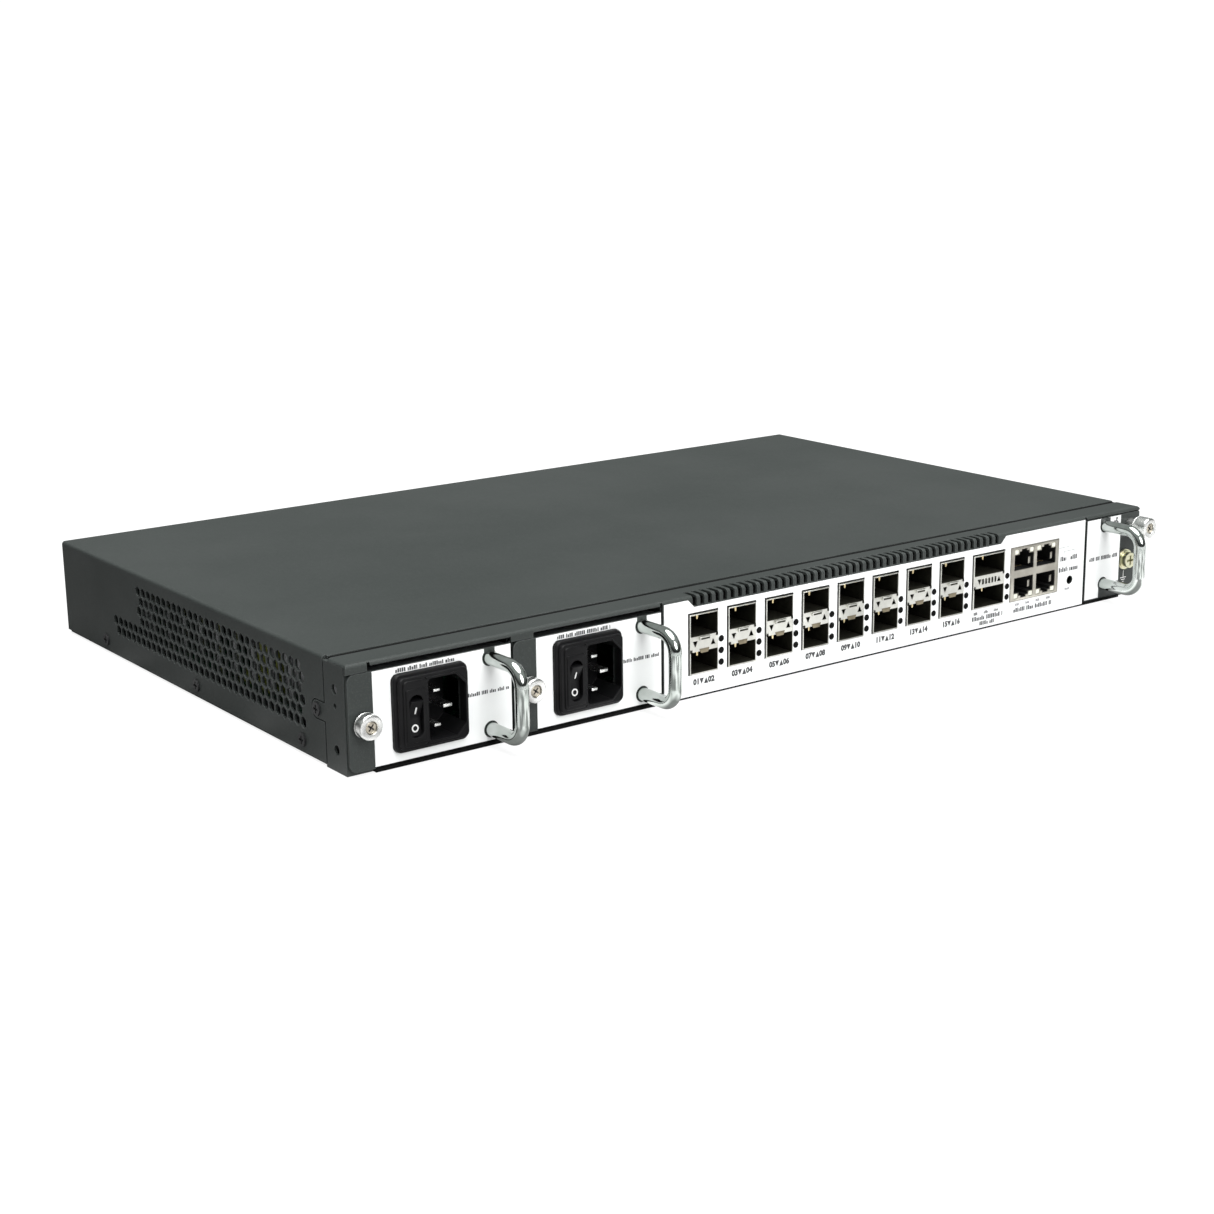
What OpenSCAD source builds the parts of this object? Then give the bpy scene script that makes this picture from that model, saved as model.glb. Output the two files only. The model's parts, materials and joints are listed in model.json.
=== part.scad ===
// Rackmount network switch, 1U, with two slide-in power modules, a fan tray and a port panel.
// Millimetres. The origin is the middle of the chassis floor, +X to the right seen from the
// front, +Y to the back, +Z up. Inside the modules y counts backwards from the front face.

/* [Chassis] */
// Width of the chassis body between its side walls' outer faces
chassis_w = 442; // [438:1:446]
// Height of the chassis body, one rack unit less the gap to its neighbour
chassis_h = 43.6; // [43.4:0.1:44.2]
// Depth of the chassis body behind its front face
chassis_d = 265; // [262:1:300]
// Thickness of the chassis sheet metal
sheet_t = 1.2; // [1:0.1:1.3]
// Outer bend radius of the folded edges
bend_r = 1.6; // [1.3:0.1:2]

/* [Power modules] */
// Distance from one power module to the next
psu_pitch = 73.6; // [73.4:0.1:74]
// Width of a power module's front plate, its dark ear included
psu_plate_w = 72.4; // [72:0.1:72.6]
// Length of a power module's case behind its front plate
psu_case_len = 203; // [190:1:204]

/* [Handles and screws] */
// Diameter of the round handle bar
handle_bar_d = 5.6; // [4:0.2:6]
// Distance from the front face to the handle bar's centre line
handle_reach = 21.8; // [16:0.2:26]
// Distance between the centre lines of a handle's two legs
handle_span = 28.8; // [26:0.2:29.4]
// Centre-line radius of the handle's two bends
handle_bend_r = 7.5; // [5:0.5:10]
// Diameter of a thumbscrew's knob
knob_d = 10; // [9:0.5:10.5]
// Length of a thumbscrew's knob
knob_len = 5.2; // [4:0.2:7]

/* [Port panel] */
// Distance from one stacked port cage to the next
cage_pitch = 20.7; // [20.5:0.1:20.8]
// Outer width of a stacked port cage
cage_w = 15.1; // [14.8:0.1:15.3]
// Length of a stacked port cage behind the front face
cage_len = 50; // [46:1:56]
// Pitch of the vent comb along the front top edge
comb_pitch = 4.05; // [4:0.01:4.06]
// Width of one slot of the vent comb
comb_slot_w = 2.2; // [1.6:0.1:2.6]

/* [Side vents] */
// Pitch of the hexagonal vent holes along a row
hex_pitch = 5.18; // [5:0.01:5.3]
// Width of a hexagonal vent hole across its flats
hex_flats = 4.3; // [3.6:0.1:4.5]

/* [Fan tray] */
// Side of the square fan frames
fan_size = 38; // [36:0.5:38]
// Distance from one fan to the next
fan_pitch = 50; // [42:1:54]

/* [Hidden] */
$fn = 48;

// Colours
steel_grey = [0.25, 0.27, 0.27];
label_white = [0.94, 0.95, 0.94];
chrome = [0.82, 0.84, 0.84];
plastic_black = [0.06, 0.06, 0.07];
board_green = [0.05, 0.25, 0.14];
nickel = [0.72, 0.70, 0.64];
zinc_yellow = [0.74, 0.74, 0.46];

// Driving places of the chassis
left_x = -chassis_w / 2;
right_x = chassis_w / 2;
front_y = -chassis_d / 2;
plate_t = 1.5;
flange_front = 1.8;
strip_depth = 13.4;
strip_top = chassis_h - 0.2;
seam_gap = 2.5;
cover_front = strip_depth + seam_gap;
side_depth = 16.6;
skirt_front = side_depth + 0.9;
lip_open_z = 41.7;
lip_flange_z = 39.6;
lip_slit_w = 1.3;
skirt_bottom = 1.4;
low_wall_h = 9.5;
ear_hole_r = 2;
ear_hole_y = 9;
ear_hole_z = [8.6, 32.4];
pin_hole_r = 1.1;
pin_hole_z = 25.9;
tab_z = [18, 25];
tab_back = 26.8;
cover_screw_y = [35.8, 128, 220];
cover_screw_z = 6;
cover_screw_r = 1.5;
cover_head_r = 2.7;
cover_head_h = 0.7;
screw_gap = 0.1;
tab_end_r = (tab_z[1] - tab_z[0]) / 2;
tab_mid_z = (tab_z[0] + tab_z[1]) / 2;
tab_round_y = tab_back - tab_end_r;
tab_screw_y = tab_back - 3.8;
rear_screw_x = chassis_w / 2 - 14;
rear_screw_z = 37.5;
slide_gap = 0.1;
panel_gap = 0.1;

// Driving places of the power modules, x from a module's ear, y from the front face
psu_first_x = left_x + 0.4;
ear_w = 10.6;
psu_plate_z = [1.4, 39.4];
psu_label_z = [2.2, 39.2];
psu_case_x = [10, 71.2];
psu_case_z = [1.6, 39];
psu_screw_x = 6.3;
psu_screw_z = 19.8;
psu_handle_x = 62.5;
psu_handle_z = 21;
notch_r = 3.4;
notch_slot_w = 5;
inlet_x = [18.4, 51.2];
inlet_z = [5.7, 36.5];
inlet_mid_z = 21.1;
socket_x = [32.2, 48.8];
socket_h = 24.4;
socket_front = -3.8;
socket_depth = 16;
inlet_flange_t = 2.2;
rocker_x = [23.8, 29.2];
rocker_z = 19.9;
rocker_h = 14.4;
rocker_tilt = 9;
rocker_pin_r = 1.2;
rocker_pin_len = 1.1;
pin_gap = 0.05;
rocker_pivot_y = 1.6;
psu_board_z = 5;
tongue_x = [28, 52];
tongue_len = 9;
shank_r = 1.9;
flange_hole_r = 2.2;
lip_tab_x = [psu_first_x + 8.9, psu_first_x + 72.8, psu_first_x + 83.2];

// Driving places of the port panel
panel_x0 = left_x + 147.4;
panel_x1 = right_x - 39.4;
label_x0 = panel_x0 + 0.4;
label_x1 = panel_x1 - 0.3;
panel_high_z = 42;
panel_low_z = 38.7;
comb_x0 = panel_x0 + 16.6;
comb_count = 45;
comb_back = 6;
chamfer_w = 3.2;
comb_left = panel_x0 + 12.9;
comb_right = panel_x0 + 200.9;
cage_x0 = panel_x0 + 13.6;
cage_count = 8;
cage_z = [9.8, 35.5];
gasket_gap = 0.6;
cage_front = -0.6;
port_w = cage_w - 1.4;
port_h = 8.9;
port_rim = 0.7;
uplink_x0 = panel_x0 + 179.7;
uplink_w = 20.5;
uplink_z = [10.2, 35.2];
uplink_port_w = 18.6;
rj45_x0 = panel_x0 + 204.2;
rj45_w = 32.6;
rj45_len = 27;
pipe_z = [22.9, 17.8, 12.8];
pipe_r = 1.2;
pipe_offset = 16.85;
last_pipe_shift = 6.1;
reset_x = panel_x0 + 245.4;
reset_z = 14.1;
reset_hole_r = 2.1;

// Driving places of the main board
board_x = [panel_x0 + 3.6, panel_x1 - 1.6];
board_y = [6, 256];
board_z = 8;
board_t = 1.6;
board_top = board_z + board_t;

// Driving places of the fan tray, x from the chassis's right face
fan_plate_x = [right_x - 38, right_x - 13.2];
fan_tab_z = 29.4;
fan_plate_z = [1.4, 41.2];
fan_handle_x = right_x - 25.3;
fan_handle_z = 22.8;
fan_screw_x = right_x - 7;
fan_screw_z = 35.2;
fan_screw_lift = 3.6;
fan_knob_len = knob_len + 2.8;
fan_frame_x = [right_x - 36.6, right_x - 14.4];
fan_frame_len = 232;
fan_body_x = [right_x - 35.6, right_x - 15.6];
fan_first_y = 36;
fan_count = 4;
fan_mid_z = 2.8 + fan_size / 2;
fan_bore_r = fan_size / 2 - 1.2;
rotor_r = fan_bore_r - 0.5;
ground_x = right_x - 7.8;
ground_z = 17.8;

// ---- Helpers ----

// A box between two corners
module span(low, high) {
    translate(low) cube(high - low);
}

// A sheet from y = 0 back to y = t, drawn in x and z
module front_sheet(t) {
    translate([0, t, 0]) rotate([90, 0, 0]) linear_extrude(t) children();
}

// A sheet from x = 0 to x = t, drawn in y and z
module side_sheet(t) {
    rotate([90, 0, 90]) linear_extrude(t) children();
}

// A rectangle between two corners
module flat(low, high) {
    translate(low) square(high - low);
}

// A rectangle between two corners with round corners
module round_flat(low, high, r) {
    flat([low[0] + r, low[1]], [high[0] - r, high[1]]);
    flat([low[0], low[1] + r], [high[0], high[1] - r]);
    for (x = [low[0] + r, high[0] - r], y = [low[1] + r, high[1] - r])
        translate([x, y]) circle(r);
}

// A cylinder along +Y that starts at y = 0
module rod_y(r, length) {
    rotate([-90, 0, 0]) cylinder(r = r, h = length);
}

// A cylinder along +X that starts at x = 0
module rod_x(r, length) {
    rotate([0, 90, 0]) cylinder(r = r, h = length);
}

// A cross recess cut into a screw's front face at y = 0
module cross_recess(arm, width, depth) {
    for (turn = [0, 90])
        rotate([0, turn, 0]) span([-arm, -1, -width / 2], [arm, depth, width / 2]);
}

// The front frame: y counts from the front face
module at_front() {
    translate([0, front_y, 0]) children();
}

// The frame of power module n: x counts from its ear
module at_psu(n) {
    translate([psu_first_x + (n - 1) * psu_pitch, front_y, 0]) children();
}

// Both sides of the chassis, the second one mirrored
module both_sides() {
    children();
    mirror([1, 0, 0]) children();
}

// ---- Chassis ----

// Outline of a side wall's front part, in y and z, with the tab that keeps the cover
module side_front_outline() {
    difference() {
        union() {
            flat([flange_front, 0], [side_depth, strip_top - sheet_t]);
            flat([side_depth - 1, tab_z[0]], [tab_round_y, tab_z[1]]);
            translate([tab_round_y, tab_mid_z]) circle(tab_end_r);
        }
        for (z = ear_hole_z)
            translate([ear_hole_y, z]) circle(ear_hole_r);
        translate([ear_hole_y, pin_hole_z]) circle(pin_hole_r);
        translate([tab_screw_y, tab_mid_z]) circle(cover_screw_r + screw_gap);
    }
}

// Flange that a module's thumbscrew goes into, in x and z
module screw_flange(x0, x1, top_z, hole) {
    difference() {
        flat([x0, sheet_t], [x1, top_z]);
        translate(hole) circle(flange_hole_r);
    }
}

module chassis_base() {
    rear_y = chassis_d - sheet_t;
    inner_x = left_x + sheet_t + slide_gap;
    color(steel_grey) at_front() {
        // Floor, narrower where the cover's skirts pass beside it
        difference() {
            span([left_x, flange_front, 0], [right_x, rear_y, sheet_t]);
            both_sides() span([left_x - 1, skirt_front - 0.2, -1], [inner_x, rear_y + 1, 2]);
        }
        // Side walls: full height in front, a low flange behind the cover's skirts
        both_sides() {
            translate([left_x, 0, 0]) side_sheet(sheet_t) side_front_outline();
            difference() {
                span([inner_x, side_depth, 0], [inner_x + sheet_t, rear_y, low_wall_h]);
                for (y = cover_screw_y)
                    translate([left_x - 1, y, cover_screw_z]) rod_x(cover_screw_r + screw_gap, 8);
            }
        }
        // Front flanges beside the module bays
        translate([0, flange_front, 0]) front_sheet(sheet_t) {
            screw_flange(left_x + 0.6, left_x + 9.3, lip_flange_z,
                [psu_first_x + psu_screw_x, psu_screw_z]);
            screw_flange(right_x - 12.6, right_x - 0.6, lip_open_z, [fan_screw_x, fan_screw_z]);
        }
        // Rear wall with its vent slots
        translate([0, rear_y, 0]) front_sheet(sheet_t) difference() {
            flat([inner_x, 0], [-inner_x, chassis_h - sheet_t - slide_gap]);
            for (x = [left_x + 22 : 6 : left_x + 142])
                round_slot(x, 12, 32, 1.5);
            for (i = [-1, 0, 1])
                translate([i * rear_screw_x, rear_screw_z]) circle(cover_screw_r + screw_gap);
        }
    }
}

// An upright slot with round ends, in x and z
module round_slot(x, z0, z1, r) {
    flat([x - r, z0 + r], [x + r, z1 - r]);
    for (z = [z0 + r, z1 - r]) translate([x, z]) circle(r);
}

// Outline of the port panel: its top edge drops under the vent comb. In x and z
module panel_outline(x0, x1, bottom_z, grow) {
    polygon([
        [x0, bottom_z],
        [x1, bottom_z],
        [x1, panel_high_z + grow],
        [comb_right + grow, panel_high_z + grow],
        [comb_right - chamfer_w + grow, panel_low_z + grow],
        [comb_left + chamfer_w - grow, panel_low_z + grow],
        [comb_left - grow, panel_high_z + grow],
        [x0, panel_high_z + grow]
    ]);
}

// Profile of the strip across the front top edge, in y and z, with the step under the cover
module strip_profile() {
    top_z = strip_top;
    flat([bend_r, top_z - sheet_t], [strip_depth, top_z]);
    flat([0, panel_low_z], [sheet_t, top_z - bend_r]);
    intersection() {
        difference() {
            translate([bend_r, top_z - bend_r]) circle(bend_r);
            translate([bend_r, top_z - bend_r]) circle(bend_r - sheet_t);
        }
        flat([0, top_z - bend_r], [bend_r, top_z]);
    }
    flat([strip_depth - 3, top_z - 2 * sheet_t], [tab_back, top_z - sheet_t]);
    flat([strip_depth - 3, top_z - 2 * sheet_t], [strip_depth - 1, top_z - sheet_t]);
}

// Space under the lip that the bays and the port panel take away, in x and z
module lip_cutouts() {
    flat([left_x - 1, 0], [lip_tab_x[2], lip_flange_z]);
    flat([lip_tab_x[0], 0], [lip_tab_x[1], lip_open_z]);
    flat([lip_tab_x[2], 0], [panel_x0, lip_open_z]);
    panel_outline(panel_x0 - 0.1, panel_x1 + 0.1, 0, 0.05);
    flat([panel_x1, 0], [right_x + 1, lip_open_z]);
    // Relief slits at the ends of the bays
    for (x = [lip_tab_x[0], panel_x0 - lip_slit_w, panel_x1])
        flat([x, lip_flange_z - 1], [x + lip_slit_w, strip_top - 0.5]);
}

module front_strip() {
    slot_z = panel_low_z + 0.3;
    color(steel_grey) at_front() difference() {
        translate([left_x, 0, 0]) side_sheet(chassis_w) strip_profile();
        translate([0, -1, 0]) front_sheet(sheet_t + 1.5) lip_cutouts();
        // Vent comb
        for (i = [0 : comb_count - 1]) translate([comb_x0 + i * comb_pitch, 0, 0]) {
            span([-comb_slot_w / 2, -1, slot_z], [comb_slot_w / 2, comb_back, chassis_h + 1]);
            translate([0, comb_back, slot_z]) cylinder(r = comb_slot_w / 2, h = 8);
        }
        both_sides() {
            // Round end, in line with the cover's folded edge
            difference() {
                span([left_x - 1, -1, strip_top - bend_r],
                    [left_x + bend_r, strip_depth + 1, chassis_h + 1]);
                translate([left_x + bend_r, -2, strip_top - bend_r]) rod_y(bend_r, strip_depth + 4);
            }
            // The step under the cover ends short of the side walls
            span([left_x - 1, strip_depth - 4, strip_top - 3 * sheet_t],
                [left_x + sheet_t + slide_gap, tab_back + 1, strip_top - sheet_t]);
        }
    }
}

// Opening round one cage, in x and z, wider at the left and above it for a gasket
module cage_cutout(x, w, z, gap) {
    flat([x - gasket_gap - gap, z[0] - gap], [x + w + gap, z[1] + gasket_gap + gap]);
}

// Openings of the port panel, in x and z
module port_cutouts(gap) {
    for (i = [0 : cage_count - 1]) cage_cutout(cage_x(i), cage_w, cage_z, gap);
    cage_cutout(uplink_x0, uplink_w, uplink_z, gap);
    flat([rj45_x0 - gap, cage_z[0] - gap], [rj45_x0 + rj45_w + gap, cage_z[1] + gap]);
    for (x = pipe_columns(), z = pipe_z)
        translate([x, z]) circle(pipe_r + 0.05);
    translate([reset_x, reset_z]) circle(reset_hole_r);
}

function cage_x(i) = cage_x0 + i * cage_pitch;
function pipe_columns() = [
    for (i = [0 : cage_count]) cage_x(i) + pipe_offset + (i == cage_count ? last_pipe_shift : 0)
];

module port_panel() {
    color(steel_grey) at_front() front_sheet(sheet_t) difference() {
        panel_outline(panel_x0, panel_x1, 0, 0);
        port_cutouts(0.3);
    }
}

module port_label() {
    color(label_white) at_front() translate([0, -0.3, 0]) front_sheet(0.3) difference() {
        panel_outline(label_x0, label_x1, 0.7, -0.05);
        port_cutouts(0.2);
    }
}

// ---- Cover ----

// Rows of hexagonal holes, in y and z; the two lowest rows reach further back
module hex_field() {
    row_step = hex_pitch * sqrt(3) / 2;
    first_y = 34.5;
    first_z = 13.2;
    for (row = [0 : 5]) {
        shift = row % 2 == 0 ? 0 : hex_pitch / 2;
        last_y = row < 2 ? 210 : 184;
        for (y = [first_y + shift : hex_pitch : last_y])
            translate([y, first_z + row * row_step]) rotate(30) circle(d = hex_flats / cos(30), $fn = 6);
    }
}

// One skirt of the cover, in y and z
module skirt_outline() {
    tab_gap = 0.5;
    difference() {
        flat([skirt_front, skirt_bottom], [chassis_d, chassis_h - bend_r]);
        flat([skirt_front - 1, tab_z[0] - tab_gap], [tab_round_y, tab_z[1] + tab_gap]);
        translate([tab_round_y, tab_mid_z]) circle(tab_end_r + tab_gap);
        for (y = cover_screw_y)
            translate([y, cover_screw_z]) circle(cover_screw_r + screw_gap);
        hex_field();
    }
}

module top_cover() {
    color(steel_grey) at_front() {
        span([left_x + bend_r, cover_front, chassis_h - sheet_t],
            [right_x - bend_r, chassis_d, chassis_h]);
        both_sides() {
            translate([left_x, 0, 0]) side_sheet(sheet_t) skirt_outline();
            // Folded edge between the top and the skirt
            intersection() {
                translate([left_x + bend_r, skirt_front, chassis_h - bend_r]) difference() {
                    rod_y(bend_r, chassis_d - skirt_front);
                    translate([0, -1, 0]) rod_y(bend_r - sheet_t, chassis_d);
                }
                span([left_x - 1, skirt_front, chassis_h - bend_r],
                    [left_x + bend_r, chassis_d, chassis_h + 1]);
            }
        }
    }
}

// A low-headed screw along +Y, its head in front of y = 0
module cover_screw(length) {
    difference() {
        union() {
            translate([0, -cover_head_h, 0]) rod_y(cover_head_r, cover_head_h);
            rod_y(cover_screw_r, length);
        }
        translate([0, -cover_head_h, 0]) cross_recess(cover_head_r * 0.62, 0.8, cover_head_h * 0.8);
    }
}

module cover_screws() {
    color([0.2, 0.2, 0.21]) at_front() {
        both_sides() {
            for (y = cover_screw_y)
                translate([left_x, y, cover_screw_z]) rotate([0, 0, -90]) cover_screw(5);
            translate([left_x, tab_screw_y, tab_mid_z]) rotate([0, 0, -90]) cover_screw(4);
        }
        for (i = [-1, 0, 1])
            translate([i * rear_screw_x, chassis_d, rear_screw_z]) rotate([0, 0, 180]) cover_screw(5);
    }
}

module ground_screw() {
    color(zinc_yellow) at_front() translate([ground_x, flange_front, ground_z]) {
        difference() {
            union() {
                translate([0, -0.8, 0]) rod_y(5, 0.8);
                translate([0, -1.5, 0]) rod_y(4.4, 0.8);
                translate([0, -4, 0]) rod_y(3.7, 2.6);
            }
            translate([0, -4, 0]) cross_recess(2.4, 1, 1.6);
        }
    }
}

// Walls that part the bays, with air windows, and the flange between the two power modules
module bay_dividers() {
    wall_top = 40.8;
    bay_2_x = psu_first_x + psu_pitch - 0.9;
    board_wall_x = panel_x0 - 0.2;
    fan_wall_x = panel_x1;
    color(steel_grey) at_front() {
        translate([bay_2_x, 0, 0]) side_sheet(1) difference() {
            flat([flange_front + sheet_t + panel_gap, sheet_t], [213, wall_top]);
            for (y = [30 : 30 : 180]) flat([y, 9], [y + 24, 36]);
        }
        translate([0, flange_front, 0]) front_sheet(sheet_t) screw_flange(bay_2_x, bay_2_x + 10.4,
            lip_flange_z, [psu_first_x + psu_pitch + psu_screw_x, psu_screw_z]);
        translate([board_wall_x, 0, 0]) side_sheet(1) difference() {
            flat([sheet_t + slide_gap, sheet_t], [213, wall_top]);
            for (y = [30 : 30 : 180]) flat([y, 12], [y + 24, 36]);
        }
        translate([fan_wall_x, 0, 0]) side_sheet(1) difference() {
            flat([sheet_t + slide_gap, sheet_t], [255, wall_top]);
            for (i = [0 : fan_count - 1])
                translate([fan_first_y + i * fan_pitch, fan_mid_z]) circle(fan_bore_r - 0.5);
        }
    }
}

// ---- Main board ----

function standoff_places() = [
    for (x = [board_x[0] + 6, (board_x[0] + board_x[1]) / 2, board_x[1] - 6], y = [70, 160, 248]) [x, y]
];

module main_board() {
    color(board_green) at_front() difference() {
        span([board_x[0], board_y[0], board_z], [board_x[1], board_y[1], board_top]);
        for (p = standoff_places())
            translate([p[0], p[1], 0]) cylinder(r = 1.6, h = 20);
    }
}

module board_standoffs() {
    color(zinc_yellow) at_front() for (p = standoff_places()) translate([p[0], p[1], 0]) {
        translate([0, 0, sheet_t]) cylinder(r = 2.8, h = board_z - sheet_t, $fn = 6);
        cylinder_z(1.5, board_z - 0.1, board_top);
        cylinder_z(2.8, board_top, board_top + 1.6);
    }
}

// A cylinder from one height to another
module cylinder_z(r, z0, z1) {
    translate([0, 0, z0]) cylinder(r = r, h = z1 - z0);
}

module switch_heatsink() {
    sink_w = 62;
    fin_count = 17;
    fin_t = 1.2;
    base_z = board_top + 3.4;
    top_z = 38;
    color("silver") at_front() translate([14, 96, 0]) {
        span([0, 0, base_z], [sink_w, sink_w, base_z + 3]);
        for (i = [0 : fin_count - 1]) {
            y = i * (sink_w - fin_t) / (fin_count - 1);
            span([0, y, base_z + 2], [sink_w, y + fin_t, top_z]);
        }
    }
}

module board_components() {
    at_front() {
        // Switch and processor packages
        color(plastic_black) span([25, 107, board_top], [65, 147, board_top + 3.4]);
        color(plastic_black) span([112, 118, board_top], [142, 148, board_top + 2.6]);
        // Memory packages
        color(plastic_black) for (i = [0 : 3])
            span([110 + i * 14, 160, board_top], [120 + i * 14, 174, board_top + 1.2]);
        // Power converters
        color("dimgray") for (i = [0 : 4])
            span([-52 + i * 15, 200, board_top], [-40 + i * 15, 212, board_top + 8]);
        // Smoothing capacitors
        color("silver") for (i = [0 : 5])
            translate([-50 + i * 13, 228, 0]) cylinder_z(4, board_top, board_top + 11);
        // Port driver packages behind the cages
        color(plastic_black) for (i = [0 : 5])
            span([-56 + i * 28, 54, board_top], [-44 + i * 28, 65, board_top + 1.8]);
    }
}

// Board behind the module bays, with the sockets that the modules plug into and its own plug
// on the main board
module power_backplane() {
    back_y = psu_case_len + 22;
    fan_x0 = fan_frame_x[0];
    fan_x1 = fan_frame_x[1];
    color(board_green) at_front() span([left_x + 9, back_y, 3], [board_x[0] - 1, back_y + board_t, 38]);
    color(plastic_black) at_front() {
        span([board_x[0] - 6, back_y + board_t, board_top], [board_x[0] + 10, back_y + 10, 24]);
        for (n = [1, 2]) translate([psu_first_x + (n - 1) * psu_pitch, 0, 0]) difference() {
            span([tongue_x[0] - 4, psu_case_len + 6, 2.6], [tongue_x[1] + 4, back_y, 14]);
            span([tongue_x[0] - 0.5, psu_case_len, psu_board_z - 0.5],
                [tongue_x[1] + 0.5, psu_case_len + 16, psu_board_z + board_t + 0.5]);
        }
        difference() {
            span([fan_x0 + 3, fan_frame_len + 4, sheet_t], [fan_x1 - 3, fan_frame_len + 16, 14]);
            span([fan_x0 + 5, fan_frame_len, 5], [fan_x1 - 5, fan_frame_len + 13, 11]);
        }
    }
}

// ---- Ports ----

// A hollow box shell between two corners, open at the front
module port_shell(x0, x1, z0, z1, length) {
    difference() {
        span([x0, cage_front, z0], [x1, length, z1]);
        span([x0 + 0.5, cage_front - 1, z0 + 0.5], [x1 - 0.5, length - 0.5, z1 - 0.5]);
    }
}

// A stacked cage with two ports, drawn from x = 0
module stacked_cage(w, z0, z1, mouth_w) {
    mouth_x = (w - mouth_w) / 2;
    low_top = z0 + port_rim + port_h;
    high_bottom = z1 - port_rim - port_h;
    mid_x = w / 2;
    // The shell with its two mouths
    difference() {
        span([0, cage_front, z0], [w, cage_len, z1]);
        span([mouth_x, cage_front - 1, z0 + port_rim], [w - mouth_x, cage_len - 0.6, low_top]);
        span([mouth_x, cage_front - 1, high_bottom], [w - mouth_x, cage_len - 0.6, z1 - port_rim]);
        // Space in the band for the light pipes, behind its face
        span([mouth_x, 1, low_top + 0.6], [w - mouth_x, cage_len + 1, high_bottom - 0.6]);
        // Arrow windows, one down and one up
        translate([0, cage_front - 1, 0]) front_sheet(4) {
            arrow_window(mid_x - mouth_w * 0.33, (low_top + high_bottom) / 2, -1);
            arrow_window(mid_x + mouth_w * 0.33, (low_top + high_bottom) / 2, 1);
        }
        // Latch slot at the top of the lower mouth
        span([mid_x - 1.6, cage_front - 1, low_top - 1], [mid_x + 1.6, 3, low_top + 1.1]);
    }
    // Latch tab at the bottom of the upper mouth
    latch_z = high_bottom - 1.4;
    span([mid_x - 3, cage_front - 1.2, latch_z], [mid_x + 3, cage_front, latch_z + 0.7]);
    span([mid_x - 3, cage_front - 1.2, latch_z], [mid_x + 3, cage_front - 0.7, latch_z + 1.8]);
}

// A small triangle that points up or down, in x and z
module arrow_window(x, z, way) {
    half = 1.1;
    polygon([[x - half, z - way * half], [x + half, z - way * half], [x, z + way * half]]);
}

module sfp_cage(i) {
    color(nickel) at_front() translate([cage_x(i - 1), 0, 0])
        stacked_cage(cage_w, cage_z[0], cage_z[1], port_w);
}

module uplink_cage() {
    color(nickel) at_front() translate([uplink_x0, 0, 0])
        stacked_cage(uplink_w, uplink_z[0], uplink_z[1], uplink_port_w);
}

// Sockets at the back of each port, one for the upper and one for the lower mouth
module port_sockets(x, w, z0, z1, mouth_w) {
    block_w = mouth_w - 2.4;
    for (low = [z0 + port_rim, z1 - port_rim - port_h]) translate([x + w / 2, 0, low]) difference() {
        span([-block_w / 2, cage_len - 9, 1.6], [block_w / 2, cage_len - 1, 7.4]);
        span([-block_w / 2 + 1, cage_len - 10, 3.6], [block_w / 2 - 1, cage_len - 3, 5.2]);
    }
}

module sfp_connectors() {
    color(plastic_black) at_front() {
        for (i = [0 : cage_count - 1])
            port_sockets(cage_x(i), cage_w, cage_z[0], cage_z[1], port_w);
        port_sockets(uplink_x0, uplink_w, uplink_z[0], uplink_z[1], uplink_port_w);
    }
}

// One jack mouth with its latch notch, in x and z, drawn about its body's middle
module jack_mouth(way) {
    flat([-6, -3.4], [6, 3.4]);
    flat([-3.2, way > 0 ? 3.3 : -5.2], [3.2, way > 0 ? 5.2 : -3.3]);
    flat([-1.7, way > 0 ? 5.1 : -6.2], [1.7, way > 0 ? 6.2 : -5.1]);
}

function jack_x(i) = rj45_x0 + rj45_w * (i == 0 ? 0.27 : 0.73);
function jack_z(way) = (cage_z[0] + cage_z[1]) / 2 + way * 5.6;

module rj45_shield() {
    color(nickel) at_front() {
        port_shell(rj45_x0, rj45_x0 + rj45_w, cage_z[0], cage_z[1], rj45_len);
        translate([0, cage_front, 0]) front_sheet(0.5) difference() {
            flat([rj45_x0, cage_z[0]], [rj45_x0 + rj45_w, cage_z[1]]);
            for (i = [0, 1], way = [-1, 1]) translate([jack_x(i), jack_z(way)]) {
                jack_mouth(way);
                for (side = [-1, 1])
                    translate([side * 5.2, way * 5]) flat([-1.1, -0.9], [1.1, 0.9]);
            }
        }
    }
}

module rj45_insert() {
    inside = 0.6;
    wire_pitch = 1.02;
    color(plastic_black) at_front() difference() {
        span([rj45_x0 + inside, 0.1, cage_z[0] + inside],
            [rj45_x0 + rj45_w - inside, 25, cage_z[1] - inside]);
        for (i = [0, 1], way = [-1, 1])
            translate([jack_x(i), -1, jack_z(way)]) front_sheet(18) jack_mouth(way);
    }
    // Contact wires at the side away from each latch
    color("gold") at_front() for (i = [0, 1], way = [-1, 1], wire = [0 : 7])
        translate([jack_x(i) + (wire - 3.5) * wire_pitch, 4, jack_z(way) - way * 3.1])
            translate([-0.2, 0, -0.35]) cube([0.4, 13.2, 0.7]);
}

module light_pipes() {
    color([0.1, 0.1, 0.1]) at_front() for (x = pipe_columns(), z = pipe_z)
        translate([x, -0.35, z]) rod_y(pipe_r, 12);
}

module reset_switch() {
    color(plastic_black) at_front() difference() {
        span([reset_x - 4, 7, board_top], [reset_x + 4, 14, board_top + 8]);
        translate([reset_x, 6, reset_z]) rod_y(1.45, 5);
    }
}

module reset_button() {
    color([0.2, 0.2, 0.2]) at_front() translate([reset_x, 2.6, reset_z]) rod_y(1.4, 6.4);
}

// ---- Handles and thumbscrews ----

// A quarter bend of the handle bar in the plane of y and z, from +Z round to -Y
module bar_bend() {
    rotate([0, -90, 180]) rotate_extrude(angle = 90)
        translate([handle_bend_r, 0]) circle(d = handle_bar_d);
}

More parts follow.
